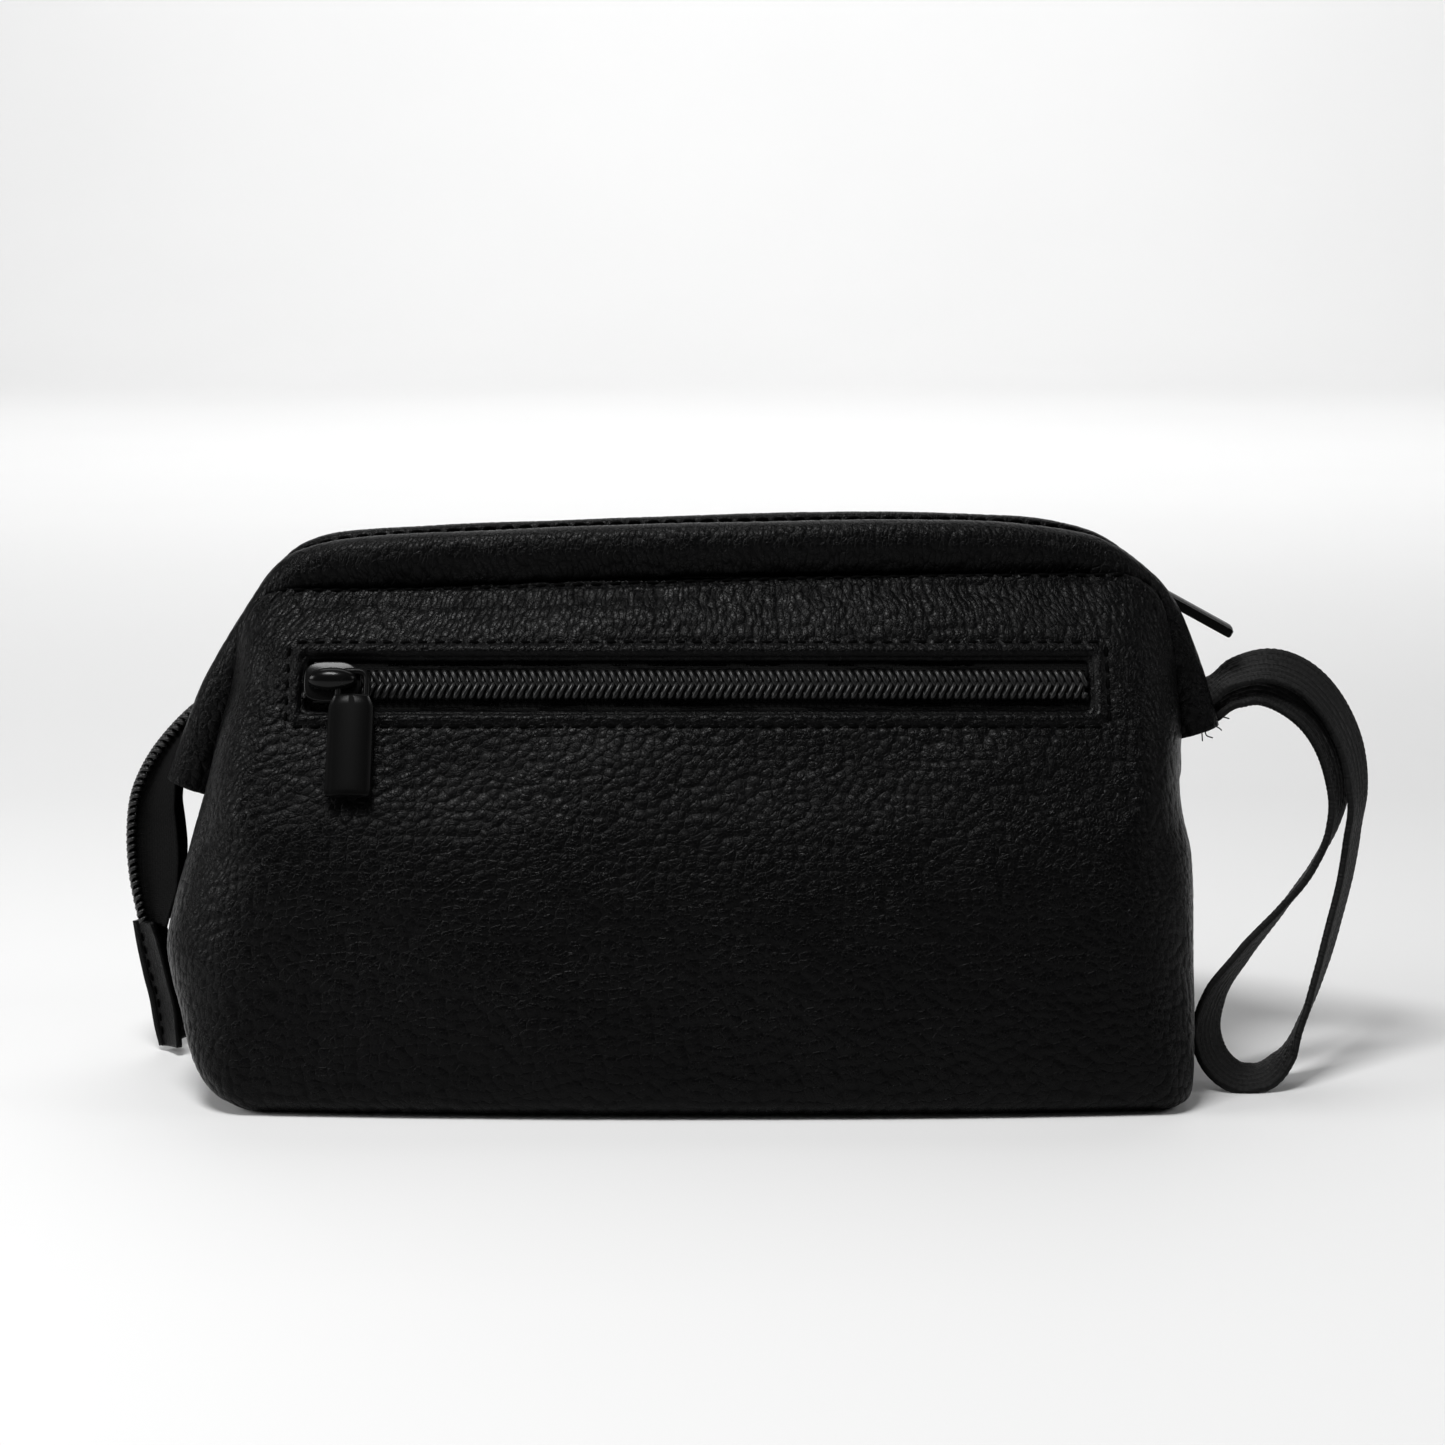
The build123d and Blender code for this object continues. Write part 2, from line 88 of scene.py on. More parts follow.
# the crest of the front mouth band, from its left foot over the top to its right foot
CREST = [(-136.8, 73.6), (-134.6, 79.5), (-130.6, 89.5), (-126.9, 98.5), (-121.4, 108.3), (-115.6, 117.6),
         (-110.2, 125.2), (-104.8, 129.9), (-96.5, 132.8), (-84.6, 134.3), (-35.0, 136.8), (24.5, 138.4),
         (64.0, 138.3), (84.0, 137.0), (94.5, 134.7), (102.0, 131.0), (108.0, 126.6), (112.2, 122.6),
         (116.2, 117.0), (119.8, 109.2), (123.2, 100.5), (127.4, 87.2)]

STRAP = [(122.5, -1, 92.6), (126.5, -1, 94.8), (132, -1, 98.6), (141, -1, 100.6), (149.6, -1, 97.6),
         (156.6, -2, 90.5), (161.8, -3, 80), (163.4, -5, 68), (162.2, -6.5, 58), (160.3, -9, 48),
         (157.2, -13, 38), (152.8, -19, 26.5), (147.8, -25, 15.8), (142.4, -30, 7.2), (136.4, -33.4, 3.0),
         (130.0, -34.0, 2.8), (125.0, -32.4, 6.6), (123.0, -29.4, 13.0), (125.6, -25.4, 21.4),
         (133.4, -20, 30.8), (143.6, -14, 40.8), (151.8, -9.8, 50.5), (156.8, -7, 60), (158.6, -5, 69),
         (157.0, -3, 78.6), (152.4, -2, 87.0), (146.0, -1, 92.4), (139.0, -1, 95.0),
         (132.6, -1, 93.6), (127.0, -1, 90.2), (123.0, -1, 88.4)]
STRAP_HALF, STRAP_T = 5.5, 1.9

TAIL = [(-126.0, 0, 93.5), (-131.0, 0, 90.0), (-137.0, 0, 84.2), (-142.6, 0, 77.0), (-146.9, 0, 68.0),
        (-148.4, 0, 58.0), (-148.1, 0, 46.0), (-145.9, 0, 33.0)]
TAB = [(-146.6, 0, 34.6), (-145.4, 0, 27.0), (-143.6, 0, 17.0), (-140.7, 0, 1.6)]


# ---- curves, grids and meshes ------------------------------------------------------------
def smooth_table(pairs):
    """A curve without overshoot through a short table of (height, value)."""
    xs, ys = (np.array(column, float) for column in zip(*pairs))
    step = np.diff(xs)
    slope = np.diff(ys) / step
    total = slope[:-1] + slope[1:]
    same = slope[:-1] * slope[1:] > 0
    middle = np.where(same, 2 * slope[:-1] * slope[1:] / np.where(same, total, 1), 0)
    grade = np.concatenate([slope[:1], middle, slope[-1:]])

    def value(x):
        x = np.clip(x, xs[0], xs[-1])
        i = np.clip(np.searchsorted(xs, x) - 1, 0, len(step) - 1)
        t = (x - xs[i]) / step[i]
        rise = t * (1 - t) ** 2 * grade[i] + t * t * (t - 1) * grade[i + 1]
        return (1 + 2 * t) * (1 - t) ** 2 * ys[i] + t * t * (3 - 2 * t) * ys[i + 1] + step[i] * rise
    return value


def between(at, known, vectors):
    """Vectors known at some places, interpolated at others."""
    return np.stack([np.interp(at, known, column) for column in vectors.T], 1)


def smooth_path(points, spacing):
    """Evenly spaced points along a smooth line through the given ones."""
    p = np.array(points, float)
    u = np.concatenate([[0], np.cumsum(np.sqrt(np.linalg.norm(np.diff(p[:, :3], axis=0), axis=1)))])
    h = np.diff(u)[:, None]
    d = np.diff(p, axis=0) / h
    m = np.vstack([d[:1], (h[1:] * d[:-1] + h[:-1] * d[1:]) / (h[:-1] + h[1:]), d[-1:]])
    t = np.linspace(0, 1, 60, endpoint=False)[:, None]
    spans = []
    for i in range(len(d)):
        rise = h[i] * (t * (1 - t) ** 2 * m[i] + t * t * (t - 1) * m[i + 1])
        spans.append((1 + 2 * t) * (1 - t) ** 2 * p[i] + t * t * (3 - 2 * t) * p[i + 1] + rise)
    return even(np.vstack(spans + [p[-1:]]), spacing)


def even(line, spacing):
    """The same line with its points evenly spaced."""
    length = arc(line)
    at = np.linspace(0, length[-1], max(2, int(round(length[-1] / spacing)) + 1))
    return between(at, length, line)


def arc(line):
    return np.concatenate([[0], np.cumsum(np.linalg.norm(np.diff(line[:, :3], axis=0), axis=1))])


def unit(v):
    return v / np.maximum(np.linalg.norm(v, axis=-1, keepdims=True), 1e-12)


def bump(x, centre, width):
    return np.exp(-((x - centre) / width) ** 2)


def ramp(x, low, high):
    """0 up to low, 1 from high, and smooth between."""
    t = np.clip((x - low) / (high - low), 0, 1)
    return t * t * (3 - 2 * t)


def wander(points, scale, seed=0.0):
    """Smooth noise at each point, about -1 to 1, with features of the given size."""
    flat = np.asarray(points, float).reshape(-1, 3) / scale + seed
    values = [noise.noise(Vector(p)) for p in flat]
    return np.array(values).reshape(np.shape(points)[:-1])


def word_of(side):
    return "front" if side < 0 else "back"


def each(line, vector):
    """The same vector for every point of a line."""
    return np.tile(vector, (len(line), 1))


def grid_faces(rows, cols, wrap=False):
    j = np.arange(rows - 1)[:, None]
    i = np.arange(cols if wrap else cols - 1)[None, :]
    k = (i + 1) % cols
    return np.stack([j * cols + i, j * cols + k, (j + 1) * cols + k, (j + 1) * cols + i], -1).reshape(-1, 4)


def grid_normals(p):
    """Normals of a grid of points."""
    return unit(np.cross(np.gradient(p, axis=1), np.gradient(p, axis=0)))


def make_piece(name, points, faces, material, slot, weave=None, grain=None):
    """A mesh object, smooth shaded, that remembers where each point is at rest."""
    points = np.asarray(points, float).reshape(-1, 3) * MM
    mesh = bpy.data.meshes.new(name)
    mesh.from_pydata(points.tolist(), [], [list(map(int, f)) for f in faces])
    obj = bpy.data.objects.new(name, mesh)
    bpy.context.scene.collection.objects.link(obj)
    remember(obj, "rest", points)
    if weave is not None:
        remember(obj, "weave", np.asarray(weave, float).reshape(-1, 3) * MM)
    if grain is not None:
        attribute = mesh.attributes.new("grain", "FLOAT", "POINT")
        attribute.data.foreach_set("value", np.asarray(grain, np.float32).ravel())
    mesh.shade_smooth()
    mesh.materials.append(material)
    return obj


def remember(obj, name, vectors):
    attribute = obj.data.attributes.new(name, "FLOAT_VECTOR", "POINT")
    attribute.data.foreach_set("vector", np.asarray(vectors, np.float32).ravel())


def face_outwards(obj):
    """Turns every closed shell's faces outwards."""
    work = bmesh.new()
    work.from_mesh(obj.data)
    bmesh.ops.recalc_face_normals(work, faces=work.faces)
    work.to_mesh(obj.data)
    work.free()


def sharpen(obj, degrees):
    """Keeps edges above this angle crisp, with smooth shading between them."""
    obj.data.set_sharp_from_angle(angle=math.radians(degrees))


def sweep(centres, across, up, sections):
    """Points of a section carried along a line; sections is one outline or one for each station."""
    sections = np.asarray(sections, float)
    if sections.ndim == 2:
        sections = np.broadcast_to(sections, (len(centres),) + sections.shape)
    side = across[:, None, :] * sections[:, :, 0:1]
    return centres[:, None, :] + side + up[:, None, :] * sections[:, :, 1:2]


def swept_faces(points):
    """Walls and two end caps of a swept closed section."""
    rows, cols = points.shape[:2]
    first, last = list(range(cols))[::-1], list(range((rows - 1) * cols, rows * cols))
    return grid_faces(rows, cols, wrap=True).tolist() + [first, last]


def two_sided(outer, inner, faces):
    """A surface with a second one behind it: all their points, and all their faces."""
    outer, inner = outer.reshape(-1, 3), inner.reshape(-1, 3)
    return np.concatenate([outer, inner]), np.concatenate([faces, (faces + len(outer))[:, ::-1]])


def assemble(parts, origin=0.0, axes=np.eye(3)):
    """Several closed swept parts as one set of points and faces, laid on the given axes."""
    points, faces, start = [], [], 0
    for part in parts:
        flat = part.reshape(-1, 3)
        points.append(origin + flat[:, :1] * axes[0] + flat[:, 1:2] * axes[1] + flat[:, 2:] * axes[2])
        faces += [[i + start for i in f] for f in swept_faces(part)]
        start += len(flat)
    return np.concatenate(points), faces


def weave_of(along, across):
    """Coordinates of a cloth's own weave at each point."""
    along, across = np.broadcast_arrays(along, across)
    return np.stack([along, across, 0 * along], -1)


def level_frame(line):
    """The directions across a line, level with the floor, and up from it."""
    across = each(line, Y_AXIS)
    return across, np.cross(unit(np.gradient(line, axis=0)), across)


def rounded_section(half_width, half_height, radius, count=5):
    """A rounded rectangle as a closed outline."""
    quarter = np.linspace(0, math.pi / 2, count)
    outline = []
    for k, (sx, sy) in enumerate(((1, 1), (-1, 1), (-1, -1), (1, -1))):
        turn = quarter + k * math.pi / 2
        cx, cy = sx * (half_width - radius), sy * (half_height - radius)
        outline += [(cx + radius * math.cos(a), cy + radius * math.sin(a)) for a in turn]
    return np.array(outline)


def tube(line, radius, sides, reference):
    """Points of a round wire along a line; reference is never in line with it."""
    along = unit(np.gradient(line, axis=0))
    across = unit(reference - along * np.sum(reference * along, axis=1, keepdims=True))
    up = np.cross(along, across)
    angle = np.linspace(0, 2 * math.pi, sides, endpoint=False)
    return sweep(line, across, up, radius * np.stack([np.cos(angle), np.sin(angle)], 1))


# ---- materials ---------------------------------------------------------------------------
class Nodes:
    """Short ways to add nodes to a shader or geometry tree."""

    def __init__(self, tree):
        self.tree = tree

    def add(self, kind, inputs=None, **settings):
        node = self.tree.nodes.new(kind)
        for key, value in settings.items():
            setattr(node, key, value)
        self.feed(node, inputs or {})
        return node

    def feed(self, node, inputs):
        for key, value in inputs.items():
            if isinstance(value, bpy.types.NodeSocket):
                self.tree.links.new(value, node.inputs[key])
            else:
                node.inputs[key].default_value = value

    def math(self, operation, a, b=0.0, clamp=False):
        return self.add("ShaderNodeMath", {0: a, 1: b}, operation=operation, use_clamp=clamp).outputs[0]

    def remap(self, value, low, high, to_low=0.0, to_high=1.0):
        keys = {"Value": value, "From Min": low, "From Max": high, "To Min": to_low, "To Max": to_high}
        return self.add("ShaderNodeMapRange", keys, interpolation_type="SMOOTHSTEP").outputs[0]

    def noise(self, position, scale, detail=2.0, output="Fac"):
        keys = {"Vector": position, "Scale": scale, "Detail": detail}
        return self.add("ShaderNodeTexNoise", keys).outputs[output]

    def vector(self, operation, *values):
        return self.add("ShaderNodeVectorMath", dict(enumerate(values)), operation=operation).outputs[0]

    def field(self, name):
        return self.add("ShaderNodeAttribute", attribute_name=name).outputs

    def cells(self, keys, feature, **settings):
        return self.add("ShaderNodeTexVoronoi", keys, feature=feature, **settings).outputs["Distance"]

    def bump(self, height, distance, normal=None):
        keys = {"Height": height, "Distance": distance}
        if normal is not None:
            keys["Normal"] = normal
        return self.add("ShaderNodeBump", keys).outputs[0]


PEBBLES = 330.0                  # pebble cells in a metre
PEBBLE_RISE = 0.00017            # height of a pebble, in metres


def relief(n, place, scale):
    """One field of leather pebbles: their domes, and the whole relief with its fine creases."""
    keys = {"Vector": n.vector("MULTIPLY", place, scale), "Scale": PEBBLES, "Randomness": 0.88}
    edge = n.cells(keys, "DISTANCE_TO_EDGE", voronoi_dimensions="2D")
    middle = n.cells({**keys, "Smoothness": 0.12}, "SMOOTH_F1", voronoi_dimensions="2D")
    dome = n.math("SUBTRACT", 1.0, n.math("POWER", n.math("MULTIPLY", middle, 1.45, clamp=True), 2.6))
    uneven = n.remap(n.noise(place, 80.0, 2.0), 0.34, 0.66, 0.3, 1.0)
    crease = n.math("MULTIPLY", n.remap(edge, 0.0, 0.12, 1.0, 0.0), uneven)
    return dome, n.math("SUBTRACT", n.math("MULTIPLY", dome, 0.6), n.math("MULTIPLY", crease, 0.4))


def pebbles(n, position):
    """Height of the leather's pebbles in either kind of tree: the domes alone, then with creases."""
    moved = position
    for scale, detail, reach in ((120.0, 1.0, 0.0026), (420.0, 2.0, 0.0013)):
        drift = n.vector("SUBTRACT", n.noise(moved, scale, detail, "Color"), (0.5, 0.5, 0.5))
        moved = n.vector("MULTIPLY_ADD", drift, (reach, reach, reach), moved)
    x, y, z = n.add("ShaderNodeSeparateXYZ", {0: moved}).outputs
    depth = n.math("ABSOLUTE", y)
    lean = n.math("MAXIMUM", n.math("MINIMUM", n.math("MULTIPLY", x, 6.0), 0.75), -0.75)
    around = n.math("SUBTRACT", x, n.math("MULTIPLY", depth, lean))
    around = n.math("ADD", around, n.math("MULTIPLY", n.math("GREATER_THAN", y, 0.0), 0.371))
    up = n.math("SUBTRACT", z, n.math("MULTIPLY", depth, 0.5))
    place = n.add("ShaderNodeCombineXYZ", {0: around, 1: up}).outputs[0]
    low, high = relief(n, place, (1.75, 1.3, 1.0)), relief(n, place, (2.5, 0.95, 1.0))
    mask = n.remap(n.add("ShaderNodeSeparateXYZ", {0: position}).outputs[2], 0.094, 0.112)
    heights = []
    for one, other in zip(low, high):
        rest = n.math("MULTIPLY", one, n.math("SUBTRACT", 1.0, mask))
        heights.append(n.math("ADD", rest, n.math("MULTIPLY", other, mask)))
    return heights


def new_material(name):
    material = bpy.data.materials.new(name)
    material.use_nodes = True
    n = Nodes(material.node_tree)
    shader = next(node for node in material.node_tree.nodes if node.type == "BSDF_PRINCIPLED")
    return material, n, shader


SOCKETS = {"color": "Base Color", "rough": "Roughness", "normal": "Normal", "metal": "Metallic",
           "specular": "Specular IOR Level", "coat": "Coat Weight", "coat_rough": "Coat Roughness",
           "sheen": "Sheen Weight", "sheen_rough": "Sheen Roughness"}


def set_sockets(n, shader, **values):
    n.feed(shader, {SOCKETS[key]: value for key, value in values.items()})


def tone(n, factor, dark, light):
    """A grey between two tones."""
    mix = n.add("ShaderNodeMix", {0: factor}, data_type="RGBA")
    mix.inputs[6].default_value = (*dark, 1)
    mix.inputs[7].default_value = (*light, 1)
    return mix.outputs[2]


def rest_position(n, on_cad):
    if on_cad:
        return n.add("ShaderNodeTexCoord").outputs["Object"]
    return n.field("rest")["Vector"]


def leather_material(name, on_cad=False, smooth=False):
    """Black leather: pebbles with fine pores, dry in the creases and rubbed on the tops."""
    material, n, shader = new_material(name)
    position = rest_position(n, on_cad)
    domes, height = pebbles(n, position)
    fine = n.cells({"Vector": position, "Scale": 1150.0}, "DISTANCE_TO_EDGE")
    pores = n.noise(position, 2600.0, 3.0)
    cloudy = n.noise(position, 38.0, 3.0)
    rub = n.math("MULTIPLY", domes, n.remap(cloudy, 0.3, 0.7, 0.45, 1.0))
    base = 0.36 if smooth else 0.35
    rough = n.math("ADD", n.math("MULTIPLY", rub, -0.15), n.remap(pores, 0.3, 0.7, base, base + 0.1))
    if smooth:
        grain = n.math("MULTIPLY", height, 0.25)
    elif on_cad:
        grain = height
    else:
        grain = n.math("MULTIPLY", height, n.field("grain")["Fac"])
    normal = n.bump(pores, 0.00005)
    normal = n.bump(n.remap(fine, 0.0, 0.12), 0.00004, normal)
    normal = n.bump(grain, PEBBLE_RISE * 1.35, normal)
    color = tone(n, rub, (0.0007, 0.0007, 0.0008), (0.002, 0.002, 0.0021))
    set_sockets(n, shader, color=color, rough=rough, normal=normal, specular=0.08)
    return material


def weave_material(name, dark, light, along, across, rise, rough=0.8, specular=0.3, sheen=0.25, ribs=0.0):
    """Woven cloth: threads counted in a metre along and across the piece's own weave."""
    material, n, shader = new_material(name)
    place = n.field("weave")["Vector"]
    split = n.add("ShaderNodeSeparateXYZ", {0: place})
    u = n.math("MULTIPLY", split.outputs[0], along * math.pi)
    v = n.math("MULTIPLY", split.outputs[1], across * math.pi)
    warp = n.math("ABSOLUTE", n.math("SINE", u))
    weft = n.math("ABSOLUTE", n.math("SINE", v))
    cross = n.math("SIGN", n.math("MULTIPLY", n.math("SINE", n.math("MULTIPLY", u, 0.5)),
                                  n.math("SINE", n.math("MULTIPLY", v, 0.5))))
    over = n.math("ADD", n.math("MULTIPLY", cross, 0.5), 0.5)
    thread = n.math("ADD", n.math("MULTIPLY", warp, over),
                    n.math("MULTIPLY", weft, n.math("SUBTRACT", 1.0, over)))
    if ribs:
        rib = n.math("ABSOLUTE", n.math("SINE", n.math("MULTIPLY", split.outputs[1], ribs * math.pi)))
        thread = n.math("ADD", n.math("MULTIPLY", thread, 0.45), n.math("MULTIPLY", rib, 0.55))
    fuzz = n.noise(n.vector("MULTIPLY", place, (700.0, 2600.0, 1.0)), 1.0, 3.0)
    patch = n.math("MULTIPLY", n.noise(place, 60.0, 2.0), 0.6)
    lit = n.math("MULTIPLY", thread, n.remap(n.math("ADD", fuzz, patch), 0.5, 1.1, 0.35, 1.0))
    set_sockets(n, shader, color=tone(n, lit, dark, light),
                specular=specular, sheen=sheen, sheen_rough=0.4,
                rough=n.remap(fuzz, 0.25, 0.75, rough - 0.08, rough + 0.08),
                normal=n.bump(thread, rise, n.bump(fuzz, rise * 0.35)))
    return material


def plain_material(name, dark, light, rough, wear, on_cad=False, streak=(1.0, 1.0, 1.0), scale=900.0,
                   rise=0.00001, **sockets):
    """Metal, nylon or thread: fine streaks or specks, and patches that are worn smoother."""
    material, n, shader = new_material(name)
    position = rest_position(n, on_cad)
    specks = n.noise(n.vector("MULTIPLY", position, streak), scale, 4.0)
    patches = n.noise(position, 130.0, 3.0)
    mixed = n.math("ADD", n.math("MULTIPLY", specks, 0.4), n.math("MULTIPLY", patches, 0.6))
    set_sockets(n, shader, color=tone(n, n.remap(mixed, 0.3, 0.7), dark, light), normal=n.bump(specks, rise),
                rough=n.remap(mixed, 0.25, 0.75, rough + wear, rough), **sockets)
    return material


def grey(value):
    return (value, value, value)


leather = leather_material("black_pebbled_leather")
leather_cad = leather_material("black_pebbled_leather_base", on_cad=True)
smooth_leather = leather_material("black_smooth_leather", smooth=True)
lining_cloth = weave_material("black_lining_cloth", grey(0.004), grey(0.016), 2600, 2600, 0.00008)
tape_cloth = weave_material("black_zip_tape", grey(0.0012), grey(0.006), 2200, 1500, 0.00012,
                            specular=0.08, sheen=0.0)
webbing = weave_material("black_webbing", grey(0.0015), grey(0.016), 900, 1400, 0.00022, rough=0.6,
                         specular=0.12, sheen=0.04, ribs=560)
nylon = plain_material("black_nylon_coil", grey(0.002), grey(0.006), 0.34, 0.1, specular=0.3, coat=0.04,
                       coat_rough=0.2)
satin_metal = plain_material("black_satin_metal", grey(0.002), grey(0.004), 0.24, 0.08,
                             streak=(6.0, 1.0, 1.0), specular=0.05, coat=0.01, coat_rough=0.2)
gloss_metal = plain_material("black_gloss_metal", grey(0.002), grey(0.004), 0.18, 0.06,
                             specular=0.11, coat=0.05, coat_rough=0.08)
steel = plain_material("spring_steel", grey(0.32), grey(0.5), 0.28, 0.14, on_cad=True,
                       streak=(8.0, 1.0, 1.0), metal=1.0)
brass = plain_material("rivet_metal", grey(0.05), grey(0.11), 0.3, 0.15, on_cad=True, metal=1.0)
board = plain_material("grey_board", grey(0.16), grey(0.26), 0.85, 0.08, on_cad=True, scale=420.0,
                       rise=0.00008, specular=0.2)
thread = plain_material("black_thread", grey(0.0004), grey(0.0012), 0.6, 0.15, scale=3200.0, rise=0.00005,
                        specular=0.02)


# ---- camera, floor and light ------------------------------------------------------------
def make_camera():
    data = bpy.data.cameras.new("camera")
    data.sensor_width, data.lens = 36.0, 77.26
    data.clip_start, data.clip_end = 0.01, 30.0
    camera = bpy.data.objects.new("camera", data)
    bpy.context.scene.collection.objects.link(camera)
    camera.location = (0.0028, -0.775, 0.2212)
    camera.rotation_euler = (math.radians(80.1), 0, 0)
    bpy.context.scene.camera = camera


def make_floor():
    """A pale sweep: flat floor, rounded up into a wall well behind the bag."""
    back, rise, half, turn = 2.6, 2.4, 4.5, 0.9
    arcs = [(back + turn * math.sin(a), turn - turn * math.cos(a)) for a in np.linspace(0, math.pi / 2, 24)]
    profile = [(-4.0, 0.0), (0.0, 0.0), (back * 0.6, 0.0)] + arcs + [(back + turn, turn + rise)]
    points = [(x, y, z) for y, z in profile for x in (-half, half)]
    faces = [(2 * i, 2 * i + 1, 2 * i + 3, 2 * i + 2) for i in range(len(profile) - 1)]
    mesh = bpy.data.meshes.new("floor")
    mesh.from_pydata(points, [], faces)
    mesh.shade_smooth()
    floor = bpy.data.objects.new("floor", mesh)
    bpy.context.scene.collection.objects.link(floor)
    material, n, shader = new_material("pale_floor")
    position = n.add("ShaderNodeTexCoord").outputs["Object"]
    cloudy = n.noise(position, 3.0, 2.0)
    set_sockets(n, shader, color=tone(n, cloudy, grey(0.74), grey(0.77)), rough=0.65, specular=0.3)
    mesh.materials.append(material)


# name, place, target, size in metres and power in watts
LIGHTS = [("overhead", (0.05, 0.75, 1.15), (0, 0, 0), (1.2, 0.7), 4.5),
          ("key", (-0.24, -0.38, 1.14), (0, 0, 0.09), (0.42, 0.3), 12),
          ("left_box", (-1.15, -0.25, 0.55), (0, 0, 0.07), (0.5, 0.5), 7.5),
          ("right_box", (1.15, -0.15, 0.7), (0, 0, 0.07), (0.5, 0.5), 2.5),
          ("wall_wash", (0.0, 1.2, 1.9), (0, 3.4, 0.9), (3.0, 0.8), 84)]


def make_light(name, location, target, size, power):
    data = bpy.data.lights.new(name, "AREA")
    data.shape, data.size, data.size_y, data.energy = "RECTANGLE", size[0], size[1], power
    lamp = bpy.data.objects.new(name, data)
    bpy.context.scene.collection.objects.link(lamp)
    lamp.location = location
    lamp.rotation_euler = (Vector(target) - Vector(location)).to_track_quat("-Z", "Y").to_euler()


def make_studio():
    for light in LIGHTS:
        make_light(*light)
    world = bpy.data.worlds.new("studio")
    world.use_nodes = True
    background = world.node_tree.nodes["Background"]
    background.inputs[0].default_value = (1, 1, 1, 1)
    background.inputs[1].default_value = 0.04
    bpy.context.scene.world = world
    bpy.context.scene.view_settings.view_transform = "Standard"


make_camera()
make_floor()
make_studio()


# ---- the leather body --------------------------------------------------------------------
left_at, right_at = smooth_table(LEFT), smooth_table(RIGHT)
depth_at, corner_at = smooth_table(DEPTH), smooth_table(CORNER)
seam_top_at = smooth_table(SEAM_TOP)
seam_y_at = smooth_table([(0, SIDE_SEAM), (50, SIDE_SEAM), (73, 13.0), (PANEL_TOP, 13.0)])


def outline(z, inset, counts):
    """Half of the bag's outline at each height z, from the left seam round the front to the right seam."""
    left, right = left_at(z) + inset, right_at(z) - inset
    depth, seam = depth_at(z) - inset, seam_y_at(z)
    seam = np.minimum(seam, depth - 0.3)
    open_end = ramp(z, 58.0, 78.0)
    radius = np.minimum(np.maximum(corner_at(z) - inset, 2.0), depth - seam)
    reach = radius + (np.minimum(14.0, 3.0 + 1.9 * (PANEL_TOP - z)) - radius) * open_end
    radius = radius + (depth - seam - radius) * open_end
    n_end, n_corner, n_front = counts
    xs, ys = [], []
    for k in np.linspace(0, 1, n_end, endpoint=False):
        xs.append(left)
        ys.append(-(seam + (depth - radius - seam) * k))
    for a in np.linspace(math.pi, 1.5 * math.pi, n_corner, endpoint=False):
        xs.append(left + reach + reach * math.cos(a))
        ys.append(-(depth - radius) + radius * math.sin(a))
    for k in np.linspace(0, 1, n_front, endpoint=False):
        xs.append(left + reach + (right - left - 2 * reach) * k)
        ys.append(-depth)
    for a in np.linspace(1.5 * math.pi, 2 * math.pi, n_corner, endpoint=False):
        xs.append(right - reach + reach * math.cos(a))
        ys.append(-(depth - radius) + radius * math.sin(a))
    for k in np.linspace(0, 1, n_end):
        xs.append(right)
        ys.append(-(depth - radius + (seam - depth + radius) * k))
    return np.stack(xs, 1), np.stack(ys, 1)


def row_heights(spacing, top=PANEL_TOP):
    """Heights whose rows are evenly spaced down the curved face."""
    z = np.linspace(0.4, top, 800)
    step = np.sqrt(np.diff(z) ** 2 + np.diff(depth_at(z)) ** 2 + (0.45 * np.diff(left_at(z))) ** 2)
    length = np.concatenate([[0], np.cumsum(step)])
    return np.interp(np.linspace(0, length[-1], int(length[-1] / spacing)), length, z)


def body_grid(spacing, inset=0.0, under=()):
    """Points of one half of the body, with rows turned under the base first."""
    counts = (max(6, int(24 / spacing)), max(8, int(32 / spacing)), int(212 / spacing))
    z = row_heights(spacing)
    x, y = outline(z, inset, counts)
    heights = np.repeat(z[:, None], x.shape[1], 1)
    tall = 110.0 + (heights - 110.0) * (seam_top_at(x) - 110.0) / (PANEL_TOP - 110.0)
    points = np.stack([x, y, np.where(heights > 110, tall, heights)], -1)
    points = belly(points)
    rows = []
    for height, tuck in under:
        row = points[0].copy()
        row[:, :2] = row[:, :2] - unit(row[:, :2] - np.array([-1.0, 0.0])) * tuck
        row[:, 2] = height
        rows.append(row)
    return np.concatenate([np.array(rows), points]) if rows else points


def belly(p):
    """The soft walls swell a little between their edges, and unevenly."""
    x, y, z = p[..., 0], p[..., 1], p[..., 2]
    normal = grid_normals(p)
    low = np.sin(np.pi * np.clip(z / 88.0, 0, 1)) ** 1.2
    across = 1 - np.clip(np.abs(x + 4) / 118.0, 0, 1) ** 2.4
    swollen = p + normal * (2.2 * low * across)[..., None]
    sag = (2.0 + 4.5 * across) * ramp(-y, 20.0, 50.0) * (1 - ramp(z, 2.0, 46.0))
    swollen[..., 1] -= sag
    tuck = 3.4 * np.clip(1 - z / 4.6, 0, 1) ** 2
    return swollen - normal * np.array([1.0, 1.0, 0.0]) * tuck[..., None]


def window_distance(p):
    """Distance outside the edge of the pocket window, below zero inside it."""
    middle = (WINDOW_LEFT + WINDOW_RIGHT) / 2
    dx = np.abs(p[..., 0] - middle) - (WINDOW_RIGHT - WINDOW_LEFT) / 2
    dy = np.abs((p - np.array([0, POCKET_Y, POCKET_Z])) @ SLOPE) - WINDOW_HALF
    outside = np.hypot(np.maximum(dx, 0), np.maximum(dy, 0))
    return np.where((dx < 0) & (dy < 0), np.maximum(dx, dy), outside)


